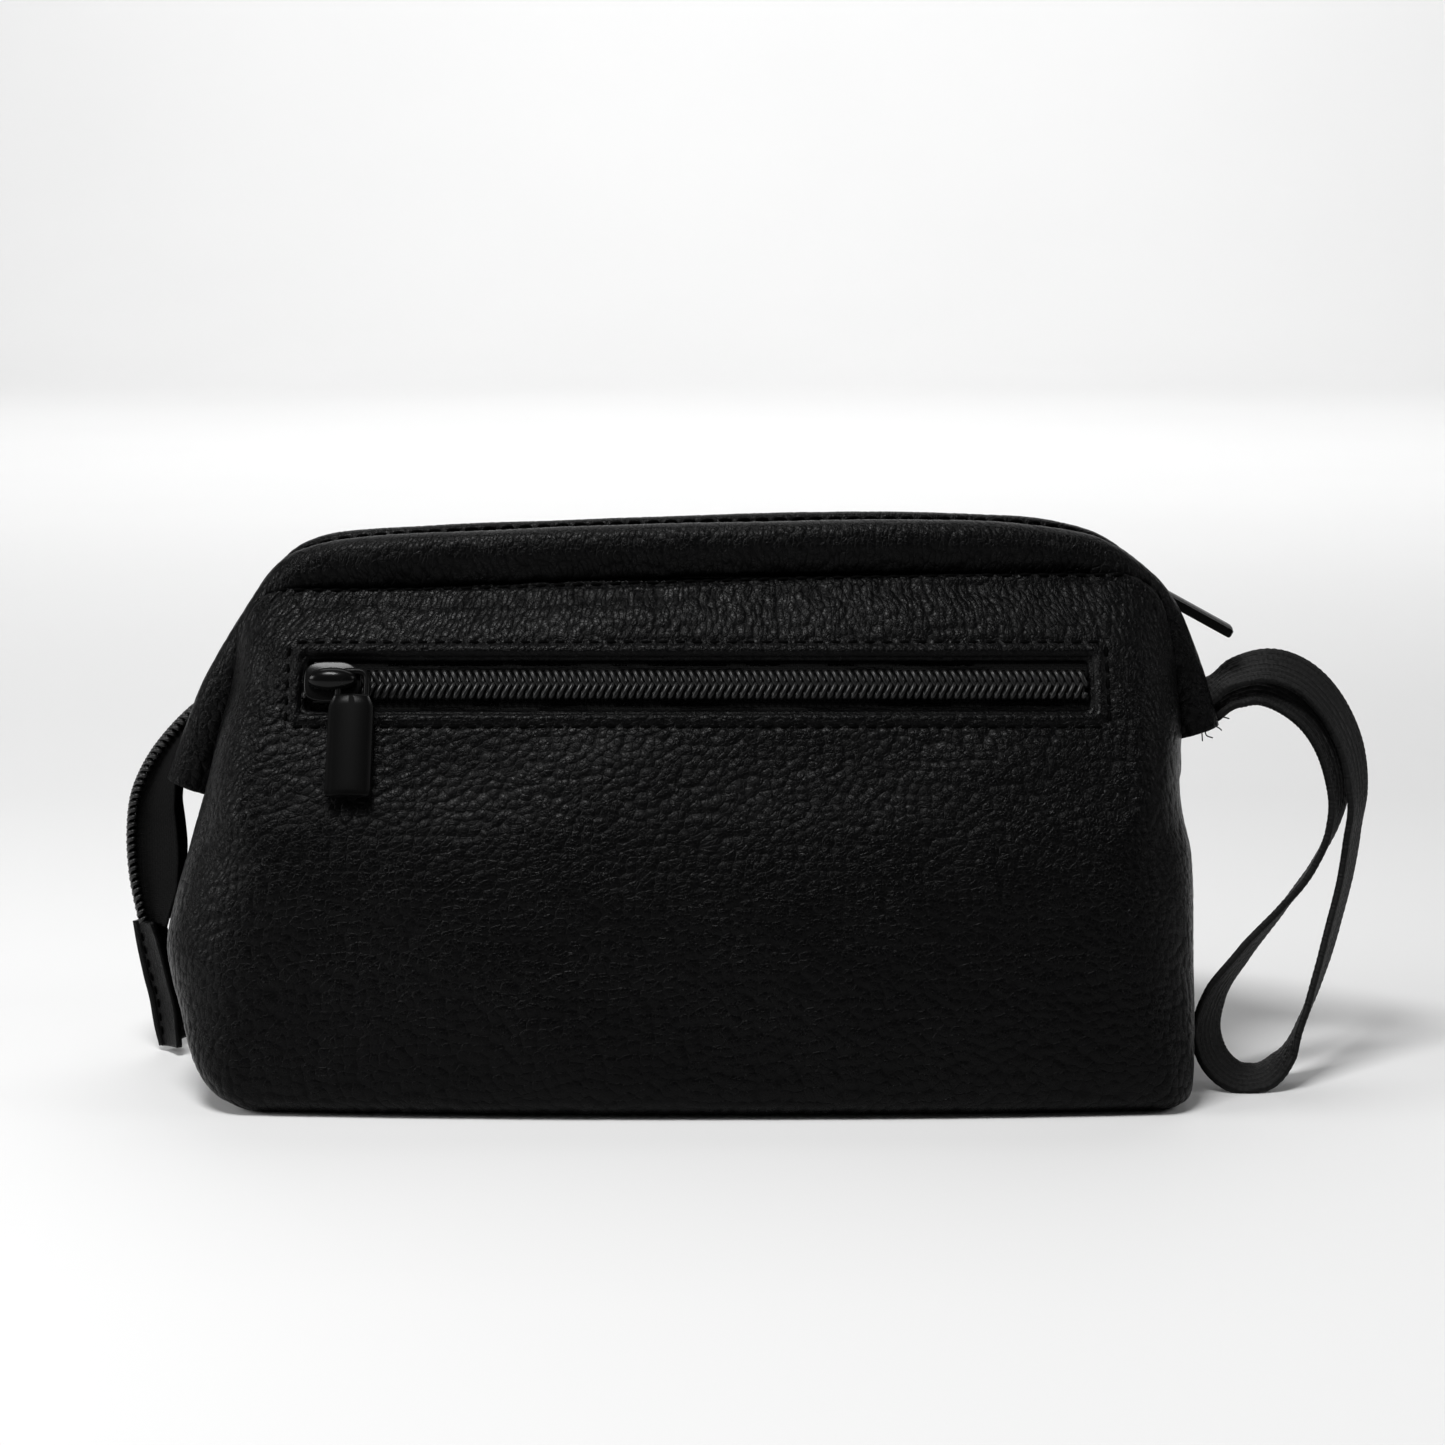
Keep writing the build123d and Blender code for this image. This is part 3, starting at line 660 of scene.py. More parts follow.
def edge_distance(p):
    """Distance from the seam with the mouth band, along the leather."""
    down = np.cumsum(np.linalg.norm(np.diff(p[::-1], axis=0, prepend=p[-1:]), axis=-1), axis=0)[::-1]
    step = np.linalg.norm(np.diff(p, axis=1), axis=-1)
    from_left = np.pad(np.cumsum(step, axis=1), ((0, 0), (1, 0)))
    from_right = np.pad(np.cumsum(step[:, ::-1], axis=1), ((0, 0), (1, 0)))[:, ::-1]
    above = ramp(p[..., 2], 70.0, 76.0)
    sideways = np.minimum(from_left, from_right) + 40 * (1 - above)
    return np.minimum(down, sideways)


def soft_shape(p, seed, pocket):
    """Creases and sewn edges of a leather panel, as offsets along its normal, and where grain shows."""
    x, y, z = p[..., 0], p[..., 1], p[..., 2]
    edge = edge_distance(p)
    away = ramp(edge, 3.0, 14.0) * ramp(z, 1.0, 14.0)
    offset = 1.15 * wander(p, 46.0, seed) * away
    offset += 0.5 * wander(p * np.array([1.0, 1.0, 0.7]), 19.0, seed + 5) * away
    pull = wander(p * np.array([1.0, 0.25, 0.16]), 5.2, seed + 9)
    offset += 0.34 * pull * bump(edge, 6.0, 7.0) * ramp(z, 96, 112)
    slanted = np.stack([x + 0.75 * z, y * 0, z * 0.18 - 0.1 * x], -1)
    offset += 0.55 * wander(slanted, 8.5, seed + 13) * bump(x, 42.0, 40.0) * bump(z, 112.0, 9.0)
    offset += 0.8 * wander(slanted, 21.0, seed + 17) * bump(x, 58.0, 34.0) * bump(z, 76.0, 17.0)
    dimple = wander(np.stack([x * 0.6 + z, y * 0, z * 0.3], -1), 14.0, seed + 21)
    offset += 0.5 * dimple * (bump(x, -104.0, 20.0) + bump(x, 100.0, 18.0)) * bump(z, 84.0, 26.0)
    roll = 0.75 * bump(edge, 2.6, 2.4) - 1.1 * bump(edge, 0.0, 1.0) - 0.42 * bump(edge, 2.1, 0.65)
    roll *= np.where(edge < 12, ramp(z, 64.0, 78.0), 0)
    offset += roll
    grain = ramp(edge, 0.3, 1.6)
    if pocket:
        gap = window_distance(p)
        clear = ramp(gap, 2.0, 14.0)
        offset = offset * clear + roll * (1 - clear)
        offset += 0.62 * bump(gap, 2.0, 1.7) - 0.5 * bump(gap, STITCH_OUT, 0.65)
        offset -= 1.5 * np.clip(1 - gap / 0.95, 0, 1) ** 2
        grain = grain * ramp(gap, 0.2, 1.8)
    return offset, grain


def emboss(obj):
    """Raises the leather's pebbles out of the mesh itself."""
    tree = bpy.data.node_groups.new("emboss", "GeometryNodeTree")
    for way in ("INPUT", "OUTPUT"):
        tree.interface.new_socket("Geometry", in_out=way, socket_type="NodeSocketGeometry")
    n = Nodes(tree)
    source, result = n.add("NodeGroupInput"), n.add("NodeGroupOutput")
    rest = n.add("GeometryNodeInputNamedAttribute", {"Name": "rest"}, data_type="FLOAT_VECTOR").outputs[0]
    grain = n.add("GeometryNodeInputNamedAttribute", {"Name": "grain"}, data_type="FLOAT").outputs[0]
    rise = n.math("MULTIPLY", grain, PEBBLE_RISE)
    height = n.math("MULTIPLY", n.math("SUBTRACT", pebbles(n, rest)[0], 0.6), rise)
    move = n.add("ShaderNodeVectorMath", {0: n.add("GeometryNodeInputNormal").outputs[0]}, operation="SCALE")
    tree.links.new(height, move.inputs["Scale"])
    place = n.add("GeometryNodeSetPosition", {"Geometry": source.outputs[0], "Offset": move.outputs[0]})
    tree.links.new(place.outputs[0], result.inputs[0])
    obj.modifiers.new("emboss", "NODES").node_group = tree
    graph = bpy.context.evaluated_depsgraph_get()
    mesh = bpy.data.meshes.new_from_object(obj.evaluated_get(graph), preserve_all_data_layers=True,
                                           depsgraph=graph)
    obj.modifiers.clear()
    obj.data = mesh


# height, and how far in from the wall, of each row of points turned under the base
UNDER = ((0.12, 9.0), (0.1, 6.0), (0.1, 3.2), (0.14, 1.3))


def make_leather_half(side):
    """The front (-1) or back (+1) leather panel, from the base up to the mouth band; gives its points."""
    points = body_grid(GRID, under=UNDER)
    front = side < 0
    offset, grain = soft_shape(points, 3.0 if front else 31.0, front)
    points = points + grid_normals(points) * offset[..., None]
    points[..., 2] = np.maximum(points[..., 2], 0.25)
    faces = grid_faces(*points.shape[:2])
    if front:
        inside = window_distance(points).ravel()[faces].mean(axis=1) < 0
        faces = faces[~inside]
    else:
        points[..., 1] *= -1
        faces = faces[:, ::-1]
    word = word_of(side)
    used, packed = np.unique(faces, return_inverse=True)
    piece = make_piece("leather_" + word, points.reshape(-1, 3)[used], packed.reshape(-1, 4), leather,
                       "pebbled_leather", grain=grain.reshape(-1)[used])
    emboss(piece)
    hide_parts(word + "_lower_panel", word + "_upper_panel")
    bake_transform(piece)
    return points


def make_lining(side):
    """The cloth lining of one half, a little inside the leather."""
    points = body_grid(2.4, inset=2.3)
    points = points + grid_normals(points) * (0.5 * wander(points, 17.0, 50.0 + side))[..., None]
    points[..., 2] = np.clip(points[..., 2] - 1.0, 3.9, 121.5)
    both, faces = two_sided(points, points - grid_normals(points) * 0.5, grid_faces(*points.shape[:2]))
    if side < 0:
        faces = faces[window_distance(both[faces]).mean(axis=1) > 1.5]
    else:
        both[:, 1] *= -1
        faces = faces[:, ::-1]
    word = word_of(side)
    weave = weave_of(both[:, 0], both[:, 2] + np.abs(both[:, 1]))
    piece = make_piece("lining_" + word, both, faces, lining_cloth, "lining_cloth", weave=weave)
    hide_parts(word + "_upper_lining")
    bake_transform(piece)


def make_gusset(sign):
    """The end of the bag between the two seams, with a tongue up between the mouth bands."""
    word = "left" if sign < 0 else "right"
    side_at = left_at if sign < 0 else right_at
    z = np.linspace(0.15, 90.0, int(90 / 0.95))
    half = np.where(z < 73, seam_y_at(z) + 1.6, 0)
    half = np.where(z >= 66, smooth_table([(0, 14.4), (70, 14.4), (80, 5.2), (90, 5.2)])(z), half)
    v = np.linspace(-1, 1, 47)
    y = half[:, None] * v[None, :]
    tuck = 0.9 + 4.5 * ramp(z, 66, 80) + 0.6 * ramp(z, 0, 3)
    fold = 1.6 * (1 - np.abs(v)) ** 1.5
    x = side_at(z)[:, None] - sign * (tuck[:, None] + fold[None, :] * ramp(z, 8, 50)[:, None])
    points = np.stack([x, y, np.repeat(z[:, None], len(v), 1)], -1)
    normal = grid_normals(points)
    normal = np.where(sign * normal[..., :1] < 0, -normal, normal)
    points = points + normal * (0.7 * wander(points, 15.0, 70.0 + sign) * ramp(z, 1, 12)[:, None])[..., None]
    both, faces = two_sided(points, points - normal * 1.4, grid_faces(*points.shape[:2])[:, ::sign])
    piece = make_piece("gusset_" + word, both, faces, leather, "pebbled_leather", grain=np.ones(len(both)))
    emboss(piece)
    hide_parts(word + "_gusset")
    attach(piece, "bag_body")


def make_bag_floor():
    """The lining across the bottom of the bag, over the stiffening board."""
    rings = np.linspace(0.0, 1.0, 26)
    turns = np.linspace(0, 2 * math.pi, 120, endpoint=False)
    square = 0.32
    cx = np.sign(np.cos(turns)) * np.abs(np.cos(turns)) ** square
    cy = np.sign(np.sin(turns)) * np.abs(np.sin(turns)) ** square
    x = -1.5 + 114.0 * rings[:, None] * cx
    y = 50.0 * rings[:, None] * cy
    z = 4.1 + 1.2 * np.maximum(rings[:, None] - 0.92, 0) / 0.08 + 0 * x
    points = np.stack([x, y, z], -1)
    points[..., 2] += 0.25 * wander(points, 22.0, 90.0) * (1 - rings[:, None] ** 4)
    both, faces = two_sided(points, points - 0.5 * Z_AXIS, grid_faces(len(rings), len(turns), wrap=True))
    piece = make_piece("lining_floor", both, faces, lining_cloth, "lining_cloth", weave=both)
    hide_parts("lower_lining")
    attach(piece, "bag_body")


# ---- mouth bands --------------------------------------------------------------------------
# depth from the crest towards the mouth's middle, and place across the bag
BAND_SECTION = [(13.0, -7.0), (9.0, -6.2), (5.0, -5.95), (2.2, -6.1), (0.7, -6.9), (0.0, -8.6),
                (0.35, -10.4), (1.5, -12.0), (3.6, -13.1), (6.4, -13.5), (9.0, -13.2), (11.4, -12.6),
                (13.0, -12.0), (13.6, -9.6), (13.0, -7.0)]


def band_frames(spacing):
    """The crest of a mouth band, and the directions from it towards the middle of the mouth."""
    crest = smooth_path([(x, 0.0, z) for x, z in CREST], spacing)
    along = unit(np.gradient(crest, axis=0))
    inward = np.cross(along, Y_AXIS)
    inward *= np.sign(np.sum(inward * (np.array([-3.5, 0, 90.0]) - crest), axis=1, keepdims=True))
    return crest, inward


def make_band(side):
    """The rolled leather band over one mouth frame wire."""
    crest, inward = band_frames(GRID)
    section = smooth_path([(d, y, 0.0) for d, y in BAND_SECTION], GRID)[:-1, :2]
    run = arc(crest)
    legs = np.minimum(run, run[-1] - run)
    slim = 1 - 0.13 * bump(legs, 56.0, 16.0) - 0.09 * (1 - ramp(legs, 44.0, 60.0))
    sections = np.repeat(section[None], len(crest), 0)
    sections[..., 0] *= slim[:, None]
    points = sweep(crest, inward, each(crest, Y_AXIS), sections)
    normal = grid_normals(points)
    centre = crest[:, None, :] + inward[:, None, :] * 6.5 + np.array([0, -9.6, 0])
    normal = np.where(np.sum(normal * (points - centre), axis=-1, keepdims=True) < 0, -normal, normal)
    depth = sections[..., 0]
    gathers = weave_of(run[:, None] / 5.6, depth / 16.0)
    offset = 0.42 * wander(gathers, 1.0, 110.0 + side) * ramp(depth, 1.0, 9.0)
    offset += 0.5 * wander(points, 26.0, 120.0 + side)
    offset += 0.5 * wander(points, 11.0, 140.0 + side) * bump(legs, 52.0, 26.0)[:, None]
    offset -= 0.4 * bump(depth, 1.55, 0.5) * (points[..., 1] > -9.5)
    offset += 0.3 * bump(depth, 6.0, 3.0) * (points[..., 1] < -9.5)
    points = points + normal * offset[..., None]
    faces = swept_faces(points)
    grain = 0.55 + 0.45 * ramp(depth, 0.5, 3.0)
    if side > 0:
        points[..., 1] *= -1
        faces = [f[::-1] for f in faces]
    word = word_of(side)
    piece = make_piece("mouth_band_" + word, points, faces, leather, "pebbled_leather", grain=grain)
    emboss(piece)
    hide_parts(word + "_sleeve")
    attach(piece, word + "_mouth")


# ---- stitches -----------------------------------------------------------------------------
def make_stitches(name, line, facing, pitch, length, body, radius=0.36, lift=0.16):
    """Separate thread stitches along a line, each dipping into the leather at its ends."""
    run = arc(line)
    count = int(run[-1] / pitch)
    starts = (run[-1] - count * pitch) / 2 + pitch * (np.arange(count) + 0.5)
    place = between(starts, run, line)
    along = unit(between(starts, run, unit(np.gradient(line, axis=0))))
    out = between(starts, run, facing)
    out = unit(out - along * np.sum(out * along, axis=1, keepdims=True))
    side = np.cross(out, along)
    skew = 0.07 * np.sin(np.arange(count) * 2.4)[:, None]
    along, side = along + side * skew, side - along * skew
    u = np.linspace(-1, 1, 9)
    thick = radius * np.sqrt(np.clip(1 - np.abs(u) ** 5, 0.02, 1)) * (1 + 0.1 * np.cos(u * 9))
    rise = lift + 0.12 - 0.75 * np.abs(u) ** 3.2
    angle = np.linspace(0, 2 * math.pi, 7, endpoint=False)
    ring = np.stack([np.cos(angle), np.sin(angle)], 1)
    spine = place[:, None, :] + along[:, None, :] * (u * length / 2)[None, :, None]
    spine = spine + out[:, None, :] * rise[None, :, None]
    points = spine[:, :, None, :] + side[:, None, None, :] * (thick[:, None] * ring[:, 0])[None, :, :, None]
    points = points + out[:, None, None, :] * (thick[:, None] * ring[:, 1] * 0.85)[None, :, :, None]
    one, block = swept_faces(points[0]), len(u) * len(angle)
    faces = [[i + k * block for i in f] for k in range(count) for f in one]
    piece = make_piece(name, points, faces, thread, "zip_tape")
    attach(piece, body)


def make_seam_stitches(side, points):
    """The line of stitches on a leather panel just inside its seam with the mouth band."""
    inset = int(round(2.1 / GRID))
    rows = points.shape[0]
    start = int(np.argmax(points[:, 0, 2] > 76.0))
    up_left = points[start:rows - inset, inset]
    over = points[rows - 1 - inset, inset:-inset]
    down_right = points[rows - 1 - inset:start:-1, -1 - inset]
    line = even(np.concatenate([up_left, over, down_right]), 0.8)
    facing = each(line, (0.0, side, 0.45))
    word = word_of(side)
    make_stitches("seam_stitches_" + word, line, facing, 4.6, 3.3, word + "_mouth", **STITCH)


def make_crest_stitches(side):
    """Topstitching along the zip side of a mouth band."""
    crest, inward = band_frames(1.0)
    line = crest + inward * 1.35 + np.array([0, -6.55, 0])
    facing = -inward * 0.7 + np.array([0, 0.7, 0])
    if side > 0:
        line[:, 1] *= -1
        facing[:, 1] *= -1
    word = word_of(side)
    make_stitches("crest_stitches_" + word, line[3:-3], facing[3:-3], 4.6, 3.5, word + "_mouth", 0.42, 0.42)


def on_pocket(x, up, out):
    """Points in the plane of the pocket: along, up the slope and out of the face."""
    x, up, out = np.broadcast_arrays(*(np.asarray(v, float) for v in (x, up, out)))
    base = np.array([0, POCKET_Y, POCKET_Z])
    return base + x[..., None] * X_AXIS + up[..., None] * SLOPE + out[..., None] * FACING


def lay_on(line, surface, out):
    """Moves a line's points along one direction onto the nearest part of a surface."""
    spots = surface.reshape(-1, 3)
    near = np.array([spots[np.argmin(np.sum((spots - p) ** 2, axis=1))] for p in line])
    gap = (near - line) @ out
    soft = np.convolve(np.pad(gap, 2, mode="edge"), np.ones(5) / 5, mode="valid")
    return line + soft[:, None] * out


def make_pocket_stitches(surface):
    gap = window_distance(surface)
    near_window = surface[(gap > 1.5) & (gap < 9.0)]
    left, right, half = WINDOW_LEFT - STITCH_OUT, WINDOW_RIGHT + STITCH_OUT, WINDOW_HALF + STITCH_OUT
    corners = [(left, -half), (right, -half), (right, half), (left, half), (left, -half)]
    for k, (a, b) in enumerate(zip(corners[:-1], corners[1:])):
        steps = np.linspace(0, 1, 60)
        line = on_pocket(a[0] + (b[0] - a[0]) * steps, a[1] + (b[1] - a[1]) * steps, 0.0)
        line = lay_on(line, near_window, FACING)
        facing = each(line, FACING)
        make_stitches("pocket_stitches_" + "abcd"[k], line, facing, 4.2, 3.0, "front_mouth", **STITCH)


# ---- zips -----------------------------------------------------------------------------------
def coil_row(name, line, across, up, side, body, node):
    """One wound row of a nylon coil zip along a line down the middle of the zip."""
    line_fine = even(line, COIL_PITCH / 14)
    old, new = np.linspace(0, 1, len(across)), np.linspace(0, 1, len(line_fine))
    across, up = between(new, old, across), between(new, old, up)
    turn = 2 * math.pi * arc(line_fine) / COIL_PITCH + (math.pi if side > 0 else 0)
    inner, outer = -0.25, COIL_HALF - COIL_WIRE
    reach = (outer + inner) / 2 + (outer - inner) / 2 * np.cos(turn)
    height = (COIL_T / 2 - COIL_WIRE) * np.sin(turn) * (1 + 0.18 * np.cos(turn))
    along = unit(np.gradient(line_fine, axis=0))
    wire = line_fine + across * (side * reach)[:, None] + up * height[:, None]
    points = tube(wire - along * (COIL_LEAN * reach)[:, None], COIL_WIRE, 7, along)
    piece = make_piece(name, points, swept_faces(points), nylon, "zip_coil")
    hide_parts(node)
    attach(piece, body)


def ribbon(name, line, across, up, low, high, thickness, material, slot, wave, seed):
    """A flat, slightly wavy strip beside a line, from low to high across it."""
    shape = rounded_section(1.0, 1.0, 0.98, 4)
    flat = np.linspace(-1, 1, 9)[1:-1]
    quarter = len(shape) // 4
    x, y = np.array([*shape[:quarter], *((v, 1.0) for v in flat[::-1]), *shape[quarter:3 * quarter],
                     *((v, -1.0) for v in flat), *shape[3 * quarter:]]).T
    middle, half, rounding = (low + high) / 2, (high - low) / 2, thickness / 2
    at_side = (x != 0) & (np.abs(y) < 1.0)
    out = np.where(at_side, np.sign(x) * (half - rounding * (1 - np.abs(x))), x * (half - rounding))
    points = sweep(line, across, up, np.stack([middle + out, y * rounding], 1))
    points = points + up[:, None, :] * (wave * wander(points, 9.0, seed))[..., None]
    weave = weave_of(arc(line)[:, None], middle + out)
    return make_piece(name, points, swept_faces(points), material, slot, weave=weave,
                      grain=np.ones(points.shape[:2]))


def make_pocket_zip():
    steps = np.linspace(WINDOW_LEFT + 1.0, WINDOW_RIGHT - 1.0, 200)
    coil_middle = -0.65
    line = on_pocket(steps, 0.0, coil_middle)
    across, up = each(line, SLOPE), each(line, FACING)
    longer = on_pocket(np.linspace(WINDOW_LEFT - 3, WINDOW_RIGHT + 3, 240), 0.0,
                       coil_middle - COIL_T / 2 - 0.35)
    for side, word in ((1, "upper"), (-1, "lower")):
        coil_row("pocket_coil_row_" + word, line, across, up, side, "front_mouth", "pocket_coil_" + word)
        near, far = sorted((side * 0.4, side * (WINDOW_HALF + 3.0)))
        tape = ribbon("pocket_tape_strip_" + word, longer, each(longer, SLOPE), each(longer, FACING),
                      near, far, TAPE_T, tape_cloth, "zip_tape", wave=0.12, seed=7.0 + side)
        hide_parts("pocket_tape_" + word)
        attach(tape, "front_mouth")
        rail = on_pocket(steps, side * (COIL_HALF - 0.2), coil_middle - 0.7)
        make_stitches("pocket_coil_thread_" + word, rail, up, COIL_PITCH, 1.5, "front_mouth", **COIL_STITCH)


def make_pocket_lip():
    """The turned leather edge inside the pocket window."""
    left, right, half, radius = WINDOW_LEFT, WINDOW_RIGHT, WINDOW_HALF, 1.6
    corners = []
    for k, (cx, cy) in enumerate(((right - radius, half - radius), (left + radius, half - radius),
                                  (left + radius, radius - half), (right - radius, radius - half))):
        for a in np.linspace(0, math.pi / 2, 6):
            turn = a + k * math.pi / 2
            corners.append((cx + radius * math.cos(turn), cy + radius * math.sin(turn)))
    corners.append(corners[0])
    path = even(np.array([(x, y, 0.0) for x, y in corners]), 0.9)[:-1]
    step = np.roll(path, -1, axis=0) - np.roll(path, 1, axis=0)
    outward = unit(weave_of(step[:, 1], -step[:, 0]))
    profile = [(1.5, -0.55), (0.7, -0.35), (0.0, -0.55), (-0.55, -1.0), (-0.8, -1.55), (-0.7, -2.1),
               (0.6, -2.4), (1.6, -1.6)]
    rows = []
    for out, depth in profile:
        spot = path + outward * out
        waver = 0.12 * wander(np.concatenate([path[:, :2], path[:, :1] * 0 + out], axis=1), 6.0, 160.0)
        rows.append(on_pocket(spot[:, 0], spot[:, 1], depth + waver))
    points = np.stack(rows, 1)
    count, around = points.shape[:2]
    faces = grid_faces(count + 1, around, wrap=True) % (count * around)
    piece = make_piece("pocket_lip", points, faces, smooth_leather, "smooth_leather")
    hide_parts("pocket_welt")
    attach(piece, "front_mouth")


def make_pouch():
    """The cloth pocket bag that hangs behind the window, inside the bag."""
    profile = [(-19.5, 107.0), (-23.0, 107.8), (-29.3, 97.4), (-35.2, 87.0), (-38.6, 78.0), (-41.0, 71.4),
               (-38.2, 69.6), (-34.4, 71.2), (-31.6, 78.0), (-27.6, 86.0), (-22.4, 94.8), (-19.5, 107.0)]
    outline_yz = smooth_path([(0, y, z) for y, z in profile], 1.6)[:-1]
    steps = np.linspace(0, 1, 90)
    x = WINDOW_LEFT - 1.5 + (WINDOW_RIGHT - WINDOW_LEFT + 3.0) * steps
    across = (outline_yz - outline_yz.mean(axis=0)) @ FACING
    pinch = 1 - 0.75 * (np.abs(2 * steps - 1) ** 14)
    rows = []
    for xi, thin in zip(x, pinch):
        ring = outline_yz - np.outer(across * (1 - thin), FACING)
        ring[:, 0] = xi
        rows.append(ring)
    points = np.array(rows)
    points[..., 1] += 0.9 * wander(points, 14.0, 180.0)
    piece = make_piece("pocket_bag", points, swept_faces(points), lining_cloth, "lining_cloth",
                       weave=weave_of(points[..., 0], points[..., 2]))
    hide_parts("pocket_pouch")
    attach(piece, "front_mouth")


def make_main_zip():
    """The main zip lies in the valley between the mouth bands and turns down the left leg."""
    coil_mid = ZIP_TOP - COIL_T / 2
    level = [(x, 0, coil_mid) for x in (104.5, 90, 40, -20, -80, -98)]
    down = [(-106, 0, coil_mid - 1.6), (-111.5, 0, coil_mid - 6.5), (-115.5, 0, coil_mid - 14),
            (-119.5, 0, coil_mid - 23), (-122.6, 0, 93.6)]
    line = smooth_path(level + down, 1.0)
    across, up = level_frame(line)
    up *= np.sign(np.sum(up * (line - np.array([0, 0, 60.0])), axis=1, keepdims=True))
    for side in (-1, 1):
        word = word_of(side)
        body = word + "_mouth"
        coil_row("main_coil_row_" + word, line, across, up, side, body, word + "_zip_coil")
        low, high = sorted((side * 0.4, side * 6.2))
        tape = ribbon("main_tape_strip_" + word, line - up * (COIL_T / 2 + 0.4), across, up, low, high,
                      TAPE_T, tape_cloth, "zip_tape", wave=0.1, seed=20.0 + side)
        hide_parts(word + "_zip_tape")
        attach(tape, body)
        rail = line + across * side * (COIL_HALF - 0.2) - up * 0.7
        make_stitches("main_coil_thread_" + word, rail, up, COIL_PITCH, 1.5, body, **COIL_STITCH)


def slab(outline_xy, z_low, z_high, crown, rounding):
    """A solid plate with rounded edges and a domed top, from a closed outline."""
    centre = outline_xy.mean(axis=0)
    radius = np.linalg.norm(outline_xy - centre, axis=1)
    rings = [(rounding * (1 - math.sin(a)), z_low + rounding * (1 - math.cos(a)))
             for a in np.linspace(0, math.pi / 2, 4)]
    rings += [(rounding * (1 - math.cos(a)), z_high - rounding + rounding * math.sin(a))
              for a in np.linspace(0, math.pi / 2, 5)]
    layers = []
    for inset, z in rings:
        shrink = (radius - inset) / radius
        flat = centre + (outline_xy - centre) * shrink[:, None]
        layers.append(np.column_stack([flat, np.full(len(flat), z)]))
    top = layers[-1]
    for share in (0.8, 0.6, 0.4, 0.2, 0.05):
        ring = top.copy()
        ring[:, :2] = centre + (top[:, :2] - centre) * share
        ring[:, 2] = z_high + crown * (1 - share ** 2)
        layers.append(ring)
    return np.array(layers)


def slider_parts():
    """A zip slider in its own frame: X along the zip, Z out of it."""
    deck_low, deck_high = COIL_T / 2 + 0.25, COIL_T / 2 + 1.35
    angles = np.linspace(0, 2 * math.pi, 64, endpoint=False)
    x = 7.2 * np.cos(angles)
    taper = 1 - 0.22 * ramp(x, 0.0, 7.2) ** 1.2
    plate = np.stack([7.0 * np.sign(np.cos(angles)) * np.abs(np.cos(angles)) ** 0.62,
                      5.2 * np.sign(np.sin(angles)) * np.abs(np.sin(angles)) ** 0.55 * taper], 1)
    pieces = [slab(plate, deck_low, deck_high, 0.35, 0.5)]
    pieces.append(slab(plate * 0.86, -COIL_T / 2 - 2.0, -COIL_T / 2 - 1.1, 0.0, 0.3))
    steps = np.linspace(0, 1, 15)
    for side in (-1, 1):
        line = np.stack([-4.6 + 4.2 * steps, np.full(15, side * 4.85), np.full(15, 0.9)], 1)
        section = rounded_section(0.42, 1.15, 0.3, 3)
        pieces.append(sweep(line, each(line, Y_AXIS), each(line, Z_AXIS), section))
    rings = []
    for latitude in np.linspace(-0.5, 0.5, 31) * math.pi * 0.98:
        girth = math.cos(latitude) ** 0.9
        wide, tall = 2.9 * np.cos(angles) * girth, 2.7 * np.sin(angles) * girth
        rings.append(np.column_stack([np.full(64, 5.9 * math.sin(latitude)), wide, deck_high + 1.1 + tall]))
    pieces.append(np.array(rings))
    return pieces


def make_hardware(name, node, parts, origin, axes, material, crisp):
    """A metal piece of the zip, made of closed parts, that moves as its own body."""
    piece = make_piece(name, *assemble(parts, origin, axes), material, "zip_metal")
    face_outwards(piece)
    sharpen(piece, crisp)
    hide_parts(node)
    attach(piece, node)


def middle_x(node):
    low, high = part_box(node)
    return (low.x + high.x) / 2 / MM


def make_sliders():
    make_hardware("main_slider_body", "main_slider", slider_parts(),
                  np.array([middle_x("main_slider"), 0, ZIP_TOP - COIL_T / 2]), np.eye(3), gloss_metal, 50)
    make_hardware("pocket_slider_body", "pocket_slider", slider_parts(),
                  on_pocket(middle_x("pocket_slider"), 0.0, -0.65), (X_AXIS, SLOPE, FACING), gloss_metal, 50)


def puller_parts():
    """A puller in its own frame: across, along its length and out; its bar is at the origin."""
    stations = [(6.0, 3.7, 0.35), (6.3, 4.1, 0.75), (6.9, 4.4, 1.0), (8.9, 5.35, 1.0), (9.6, 5.5, 1.0)]
    stations += [(s, 5.5, 1.0) for s in np.linspace(11.0, 30.6, 12)]
    stations += [(31.4, 5.45, 0.98), (31.8, 5.3, 0.85), (32.0, 5.0, 0.6)]
    v = np.linspace(-1, 1, 19)
    rows = []
    for s, half, share in stations:
        face = [(half * 0.86 * k, 0.5 + 1.5 * math.sqrt(1 - 0.72 * k * k)) for k in v]
        right = [(half * 0.97, 1.32), (half, 1.0), (half, -0.7), (half * 0.97, -0.92)]
        left = [(-x, z) for x, z in right[::-1]]
        rows.append([(x, s, z * share + 0.45 * (1 - share)) for x, z in face + right + left])
    half_loop = [(3.4, 7.4, 0), (3.45, 4.0, 0), (3.3, 1.3, 0), (2.3, 0.1, 0)]
    loop = smooth_path([(-x, y, z) for x, y, z in half_loop] + [(0, -0.1, 0)] + half_loop[::-1], 0.4)
    return [np.array(rows), tube(loop, 0.88, 12, each(loop, Z_AXIS))]


